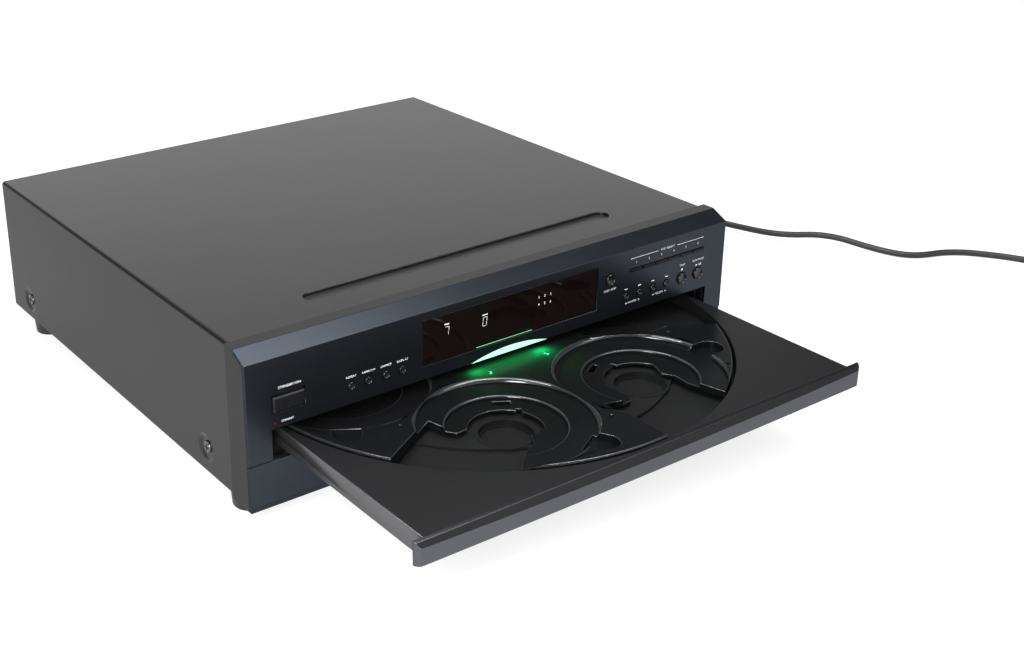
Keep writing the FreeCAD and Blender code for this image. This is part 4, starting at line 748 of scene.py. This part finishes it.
leadSet = {
    "thick": 0.006,
    "length": 1.8,
    # millimetres in the front's frame, from the rear gland to the coil
    "route": [(165, 440.6, 46), (165, 466.6, 46), (182, 504, 30), (228, 528, 3.02), (298, 500, 3.02),
              (356, 434, 3.02), (400, 358, 3.02), (430, 276, 4.02), (447, 203, 6.52), (462, 148, 8.02),
              (497, 118, 11.02), (516, 76, 4.02), (532, 43, 3.02), (574, 31, 3.02), (603, -8, 3.02),
              (616, -38, 3.02)],
    "coilMiddle": (666.4, -46.2),
    "enter": 216.87,            # degrees round the coil where the lead joins it
    "perTurn": 14,
    "wound": 1710,              # degrees from the coil's bearing 0 to its end
    "turns": [(39.0, 3.02), (33.0, 3.02), (27.2, 3.02), (36.0, 8.9)],     # radius and height of each turn
    "blendFrom": 0.66,
    "leave": (33.0, 7.0),
    "tail": [(18, -33, 7.0), (30, -33, 7.0), (48, -33, 7.0)],     # from the coil's middle to the plug
}


# control points of the turns, each blending into the next over a third of a turn
def coilPoints(s):
    count = s["perTurn"]
    swell = 1 / math.cos(math.pi / count)
    middleX, middleY = s["coilMiddle"]
    points = []
    total = s["wound"] - s["enter"]
    steps = int(round(total / 360 * count))
    for step in range(1, steps + 1):
        turned = total * step / steps
        place = turned / 360
        index = int(place)
        share = place - index
        here = s["turns"][min(index, 3)]
        after = s["turns"][index + 1] if index < 3 else s["leave"]
        blend = min(max((share - s["blendFrom"]) / (1 - s["blendFrom"]), 0), 1)
        if index > 3:
            here, after, blend = s["leave"], s["leave"], 0
        radius = (here[0] * (1 - blend) + after[0] * blend) * swell
        height = here[1] * (1 - blend) + after[1] * blend
        angle = math.radians(s["enter"] + turned)
        points.append((middleX + radius * math.cos(angle), middleY + radius * math.sin(angle), height))
    return points


def makeLead(s):
    middleX, middleY = s["coilMiddle"]
    points = s["route"] + coilPoints(s)
    points += [(middleX + x, middleY + y, z) for x, y, z in s["tail"]]
    curve = bpy.data.curves.new("mainsLead", "CURVE")
    curve.dimensions = "3D"
    curve.bevel_depth = s["thick"] / 2
    curve.bevel_resolution = 5
    curve.use_fill_caps = True
    curve.resolution_u = 10
    spline = curve.splines.new("NURBS")
    spline.points.add(len(points) - 1)
    for point, spot in zip(spline.points, points):
        point.co = at(*spot).to_4d()
    spline.order_u = 3
    spline.use_endpoint_u = True
    curve.materials.append(finish["rubber_black"])
    lead = bpy.data.objects.new("mainsLead", curve)
    scene.collection.objects.link(lead)
    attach(lead, bodyOf["mains_lead"])
    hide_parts("mains_lead", "lead_coil")


makeLead(leadSet)
print("mains lead laid")


keySet = {
    "sheet": 2.5,               # thickness of the fascia
    "behind": 0.6,              # how far the round part reaches behind it
    "roll": [(0.10, 0.25), (0.35, 0.0), (0.60, 0.0)],     # rounded lip: in from the side, down from the face
    "lipDepth": 0.6,
    "lip": 0.7,
    "dish": 0.30,               # depth of the finger dish as a share of the key's radius
    "dishSteps": 6,
    "collar": 1.0,              # how much wider the square collar is than the round part
    "collarAt": (0.3, 1.5),     # its place behind the fascia
    "stem": (1.2, 1.3),         # half width of the stem and where it starts
    "steps": 40,
    # place across and up, radius, how far the key stands proud
    "buttons": {
        "mode_button_1": (-136.9, 86.5, 3.0, 1.2), "mode_button_2": (-123.0, 86.5, 3.0, 1.2),
        "mode_button_3": (-108.6, 86.5, 3.0, 1.2), "mode_button_4": (-95.0, 86.5, 3.0, 1.2),
        "skip_button": (95.7, 104.8, 4.6, 1.6),
        "track_button_1": (112.7, 87.0, 2.7, 1.2), "track_button_2": (126.6, 87.0, 2.7, 1.2),
        "track_button_3": (140.7, 87.0, 2.7, 1.2), "track_button_4": (155.0, 87.0, 2.7, 1.2),
        "stop_button": (171.6, 87.0, 4.7, 1.6), "play_button": (188.9, 87.0, 4.7, 1.6),
    },
}


# turns (radius, distance along the axis) points into a closed skin round the axis
def lathe(skin, profile, middle, axis, steps):
    axis = Vector(axis).normalized()
    side = axis.orthogonal().normalized()
    other = axis.cross(side)
    rings = []
    for radius, reach in profile:
        if radius < 1e-9:
            rings.append([skin.verts.new(middle + axis * reach)])
            continue
        ring = []
        for step in range(steps):
            turn = 2 * math.pi * step / steps
            outward = side * math.cos(turn) + other * math.sin(turn)
            ring.append(skin.verts.new(middle + axis * reach + outward * radius))
        rings.append(ring)
    for one, two in zip(rings, rings[1:]):
        for step in range(steps):
            after = (step + 1) % steps
            if len(one) == 1:
                face = skin.faces.new((one[0], two[step], two[after]))
            elif len(two) == 1:
                face = skin.faces.new((one[step], two[0], one[after]))
            else:
                face = skin.faces.new((one[step], two[step], two[after], one[after]))
            face.smooth = True


def addBlock(skin, low, high):
    corners = [skin.verts.new(spot) for spot in product(*zip(low, high))]
    for face in ((0, 1, 3, 2), (4, 6, 7, 5), (0, 4, 5, 1), (2, 3, 7, 6), (0, 2, 6, 4), (1, 5, 7, 3)):
        skin.faces.new([corners[i] for i in face])


def meshOf(name, skin, creaseAngle=35):
    bmesh.ops.recalc_face_normals(skin, faces=skin.faces)
    mesh = bpy.data.meshes.new(name)
    skin.to_mesh(mesh)
    skin.free()
    mesh.set_sharp_from_angle(angle=math.radians(creaseAngle))
    return mesh


def makeRoundKey(nodeName, x, z, radius, proud):
    low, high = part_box(nodeName)
    words = nodeName.split("_")
    name = words[0] + "Key" + (words[2] if len(words) > 2 else "")
    s = keySet
    back = -s["sheet"] - s["behind"]
    profile = [(0, back), (radius, back), (radius, proud - s["lipDepth"])]
    profile += [(radius - inward, proud - down) for inward, down in s["roll"]]
    hollow, lip = s["dish"] * radius, radius - s["lip"]
    for step in range(s["dishSteps"]):
        turn = math.radians(90 * step / s["dishSteps"])
        profile.append((lip * math.cos(turn), proud - hollow * math.sin(turn)))
    profile.append((0, proud - hollow))
    skin = bmesh.new()
    lathe(skin, [(reach / 1000, depth / 1000) for reach, depth in profile], at(x, 0, z), (0, -1, 0), s["steps"])
    collar = radius + s["collar"]
    near, far = (s["sheet"] + depth for depth in s["collarAt"])
    addBlock(skin, at(x - collar, near, z - collar), at(x + collar, far, z + collar))
    half, start = s["stem"]
    end = at(x + half, 0, z + half)
    end.y = high[1]
    addBlock(skin, at(x - half, s["sheet"] + start, z - half), end)
    piece = place(name, meshOf(name, skin), bodyOf[nodeName], slotOf[nodeName])
    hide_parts(nodeName)


for nodeName, spot in keySet["buttons"].items():
    makeRoundKey(nodeName, *spot)
print("round keys turned")


def makeScrews():
    head, rise, shank, reach, crossDepth = (screwSet[key] / 1000 for key in
                                            ("head", "rise", "shank", "reach", "crossDepth"))
    profile = [(0, -reach), (shank, -reach), (shank, -rise), (head, -rise)]
    profile += [(head * share, -drop / 1000) for share, drop in screwSet["crown"]] + [(0, 0.0)]
    slim, wide = (value / 1000 for value in screwSet["cross"])
    skin, cutter = bmesh.new(), bmesh.new()
    for low, high in screwSpots:
        axis, seat = screwSeat(low, high)
        lathe(skin, profile, seat, axis, screwSet["steps"])
        up = Vector((0, 0, 1))
        side = axis.cross(up)
        for one, two in ((slim, wide), (wide, slim)):
            spread = side * one + up * two
            corners = [seat - spread - axis * crossDepth, seat + spread + axis * 0.0005]
            addBlock(cutter, [min(a, b) for a, b in zip(*corners)], [max(a, b) for a, b in zip(*corners)])
    piece = place("coverScrews", meshOf("coverScrews", skin), "cabinet", "screw_black")
    bmesh.ops.recalc_face_normals(cutter, faces=cutter.faces)
    cutMesh = bpy.data.meshes.new("recess")
    cutter.to_mesh(cutMesh)
    cutter.free()
    tool = bpy.data.objects.new("recess", cutMesh)
    scene.collection.objects.link(tool)
    cut = piece.modifiers.new("recess", "BOOLEAN")
    cut.operation = "DIFFERENCE"
    cut.solver = "EXACT"
    cut.use_self = True
    cut.object = tool
    bpy.context.view_layer.update()
    shaped = bpy.data.meshes.new_from_object(piece.evaluated_get(bpy.context.evaluated_depsgraph_get()))
    piece.modifiers.clear()
    piece.data = shaped
    shaped.name = "coverScrewsCut"
    bpy.data.objects.remove(tool)
    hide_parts("cover_screws")


makeScrews()
print("screws cut")


printSet = {"layer": 0.00002, "spacing": 1.12, "barY": (-0.05, -0.01), "wordY": -0.04, "arrowTurn": 130}


def letteringMesh(name, words, size, spacing=1.0):
    text = bpy.data.curves.new(name, "FONT")
    text.body = words
    text.size = size / 1000
    text.align_x = "CENTER"
    text.align_y = "CENTER"
    text.extrude = printSet["layer"]
    text.space_character = spacing
    text.resolution_u = 3
    holder = bpy.data.objects.new(name, text)
    scene.collection.objects.link(holder)
    bpy.context.view_layer.update()
    mesh = bpy.data.meshes.new_from_object(holder.evaluated_get(bpy.context.evaluated_depsgraph_get()))
    bpy.data.objects.remove(holder)
    mesh.name = name
    return mesh


def frontWords(name, words, x, z, size, material="ink", y=printSet["wordY"]):
    mesh = letteringMesh(name, words, size, printSet["spacing"])
    mesh.transform(Matrix.Translation(at(x, y, z)) @ Matrix.Rotation(math.radians(90), 4, "X"))
    return place(name, mesh, "cabinet", material=material)


# thin printed strips: x, z, half width and half height in millimetres
def frontBars(name, bars, material="ink"):
    skin = bmesh.new()
    front, rear = printSet["barY"]
    for x, z, halfWide, halfHigh in bars:
        addBlock(skin, at(x - halfWide, front, z - halfHigh), at(x + halfWide, rear, z + halfHigh))
    return place(name, meshOf(name, skin), "cabinet", material=material)


# a small solid triangle; direction in degrees, 0 to the right and 90 up
def frontArrow(name, x, z, size, direction):
    skin = bmesh.new()
    angles = [math.radians(direction + turn) for turn in (0, printSet["arrowTurn"], -printSet["arrowTurn"])]
    corners = [(x + size * math.cos(angle), z + size * math.sin(angle)) for angle in angles]
    front, rear = ([skin.verts.new(at(cx, y, cz)) for cx, cz in corners] for y in printSet["barY"])
    skin.faces.new(front)
    skin.faces.new(rear[::-1])
    for one, two in ((0, 1), (1, 2), (2, 0)):
        skin.faces.new((front[one], front[two], rear[two], rear[one]))
    return place(name, meshOf(name, skin), "cabinet", material="ink")


printing = {
    # words, place across and up, height of the letters
    "wordStandbyOn": ("STANDBY/ON", -184.6, 101.9, 2.5),
    "wordStandby": ("STANDBY", -186.9, 77.4, 2.0),
    "wordRepeat": ("REPEAT", -136.9, 93.3, 2.3),
    "wordRandom": ("RANDOM", -123.0, 93.3, 2.3),
    "wordDimmer": ("DIMMER", -108.6, 93.3, 2.3),
    "wordDisplay": ("DISPLAY", -95.0, 93.3, 2.3),
    "wordDiscSkip": ("DISC SKIP", 95.7, 96.2, 2.5),
    "wordDiscSelect": ("DISC SELECT", 154.6, 116.6, 2.3),
    "wordStop": ("STOP", 171.6, 98.0, 2.1),
    "wordPlay": ("PLAY/PAUSE", 188.9, 98.4, 2.1),
    "wordFolderLeft": ("FOLDER", 119.6, 80.8, 2.2),
    "wordFolderRight": ("FOLDER", 147.8, 80.8, 2.2),
}
for pieceName, spot in printing.items():
    frontWords(pieceName, *spot)
for index, x in enumerate((122.0, 135.0, 148.1, 161.2, 174.2, 187.5), 1):
    frontWords("discNumber%d" % index, str(index), x, 112.6, 2.4)
frontBars("selectLine", [(130.2, 116.5, 14.2, 0.16), (179.1, 116.5, 14.3, 0.16)])
frontBars("keyMarks", [(112.7, 92.6, 1.5, 0.35), (126.6, 92.6, 1.5, 0.35), (140.7, 92.6, 1.5, 0.35),
                       (155.0, 92.6, 1.5, 0.35), (171.6, 94.3, 0.8, 0.8), (190.6, 94.2, 0.35, 0.8),
                       (192.0, 94.2, 0.35, 0.8)])
arrows = {"arrowUp": (113.2, 80.8, 1.0, 90), "arrowDown": (126.2, 80.8, 1.0, 270),
          "arrowLeft": (141.4, 80.8, 1.0, 180), "arrowRight": (154.4, 80.8, 1.0, 0),
          "arrowPlay": (187.4, 94.2, 1.1, 0)}
for pieceName, spot in arrows.items():
    frontArrow(pieceName, *spot)
print("front printed")


displaySet = {
    "y": (0.16, 0.19),
    "figure": (3.3, 6.6),       # width and height
    "thick": 0.34,
    "trim": 0.2,                # leaves gaps between the segments
    "lean": 0.12,
    # place, lit segments, half length of the bar above
    "figures": [(-57.1, 104.8, "abc", 2.0), (-23.5, 102.9, "abcdef", 2.4)],
    "bar": (4.9, 5.6),
    "discs": [(26.2, 108.4), (31.7, 108.4), (37.2, 108.4), (26.2, 102.6), (31.7, 102.6), (37.2, 102.6)],
    "discSize": 2.6,
}


# a seven-segment figure; lit names the segments a to g
def segments(skin, x, z, lit):
    s = displaySet
    half, quarter, thick = s["figure"][0] / 2, s["figure"][1] / 4, s["thick"]
    bars = {"a": (0, 2 * quarter, half, thick), "g": (0, 0, half, thick), "d": (0, -2 * quarter, half, thick),
            "f": (-half, quarter, thick, quarter), "b": (half, quarter, thick, quarter),
            "e": (-half, -quarter, thick, quarter), "c": (half, -quarter, thick, quarter)}
    for letter in lit:
        dx, dz, halfWide, halfHigh = bars[letter]
        wide, high = halfWide - s["trim"], halfHigh - s["trim"]
        middle = x + dx + s["lean"] * dz
        addBlock(skin, at(middle - wide, s["y"][0], z + dz - high), at(middle + wide, s["y"][1], z + dz + high))


def makeDigits():
    s = displaySet
    skin = bmesh.new()
    for x, z, lit, halfBar in s["figures"]:
        segments(skin, x, z, lit)
        addBlock(skin, at(x - halfBar, s["y"][0], z + s["bar"][0]), at(x + halfBar, s["y"][1], z + s["bar"][1]))
    place("litFigures", meshOf("litFigures", skin), "cabinet", material="digits")
    for index, (x, z) in enumerate(s["discs"], 1):
        frontWords("litNumber%d" % index, str(index), x, z, s["discSize"], material="digits", y=s["y"][0])


makeDigits()
print("display lit")


tableMarks = {"reach": 52.0, "size": 5.0, "lift": 0.03, "firstTurn": -120.0, "order": [2, 3, 4, 5, 6, 1]}


def makeTableMarks(s):
    middle = tableMiddle + Vector((0, 0, landZ + s["lift"] / 1000))
    for index, number in enumerate(s["order"]):
        turn = math.radians(s["firstTurn"] + 360 / len(s["order"]) * index)
        mesh = letteringMesh("wellNumber%d" % number, str(number), s["size"])
        spot = Matrix.Translation(middle + Vector((math.cos(turn), math.sin(turn), 0)) * s["reach"] / 1000)
        mesh.transform(spot @ Matrix.Rotation(turn + math.radians(90), 4, "Z"))
        place("wellNumber%d" % number, mesh, "disc_table", material="tableInk")


makeTableMarks(tableMarks)


ringSet = {
    "left": (-124.0, "ringWhite"),
    "right": (-106.0, "ringRed"),
    "height": 60.0,
    # radius and distance out from the panel
    "profile": [(4.3, 1.2), (4.3, 3.0), (5.2, 3.0), (5.8, 2.4), (5.8, 1.2), (4.3, 1.2)],
    "steps": 40,
}


def makeJackRings(s):
    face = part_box("rear_panel")[1][1]
    for side in ("left", "right"):
        x, material = s[side]
        skin = bmesh.new()
        spot = Vector((x / 1000, face, s["height"] / 1000))
        profile = [(radius / 1000, out / 1000) for radius, out in s["profile"]]
        lathe(skin, profile, spot, (0, 1, 0), s["steps"])
        name = "jackRing" + side.capitalize()
        place(name, meshOf(name, skin), "cabinet", material=material)


makeJackRings(ringSet)
print("rear rings fitted")

# painted reflection: a thin glowing green strip stands for the crescent's reflection in the window's lower
# border
frontBars("windowGlint", [(-5.5, 84.4, 25.5, 0.22)], material="greenLine")

# the crescent lights the table under it, most at its two ends
glowSet = {
    "crescentGlow": {"place": at(-3, -2.5, 74.0), "aim": at(-3, -12, 60), "size": (0.050, 0.003), "power": 0.09,
                     "tint": (0.0, 1.0, 0.18)},
    "crescentEndLeft": {"place": at(-33, -3.0, 72.5), "aim": at(-33, -12, 60), "size": (0.010, 0.004),
                        "power": 0.050, "tint": (0.0, 1.0, 0.16)},
    "crescentEndRight": {"place": at(26, -3.0, 72.5), "aim": at(26, -12, 60), "size": (0.010, 0.004),
                         "power": 0.085, "tint": (0.0, 1.0, 0.24)},
}
for lampName, lampSet in glowSet.items():
    makeLamp(lampName, lampSet, mirrored=False)
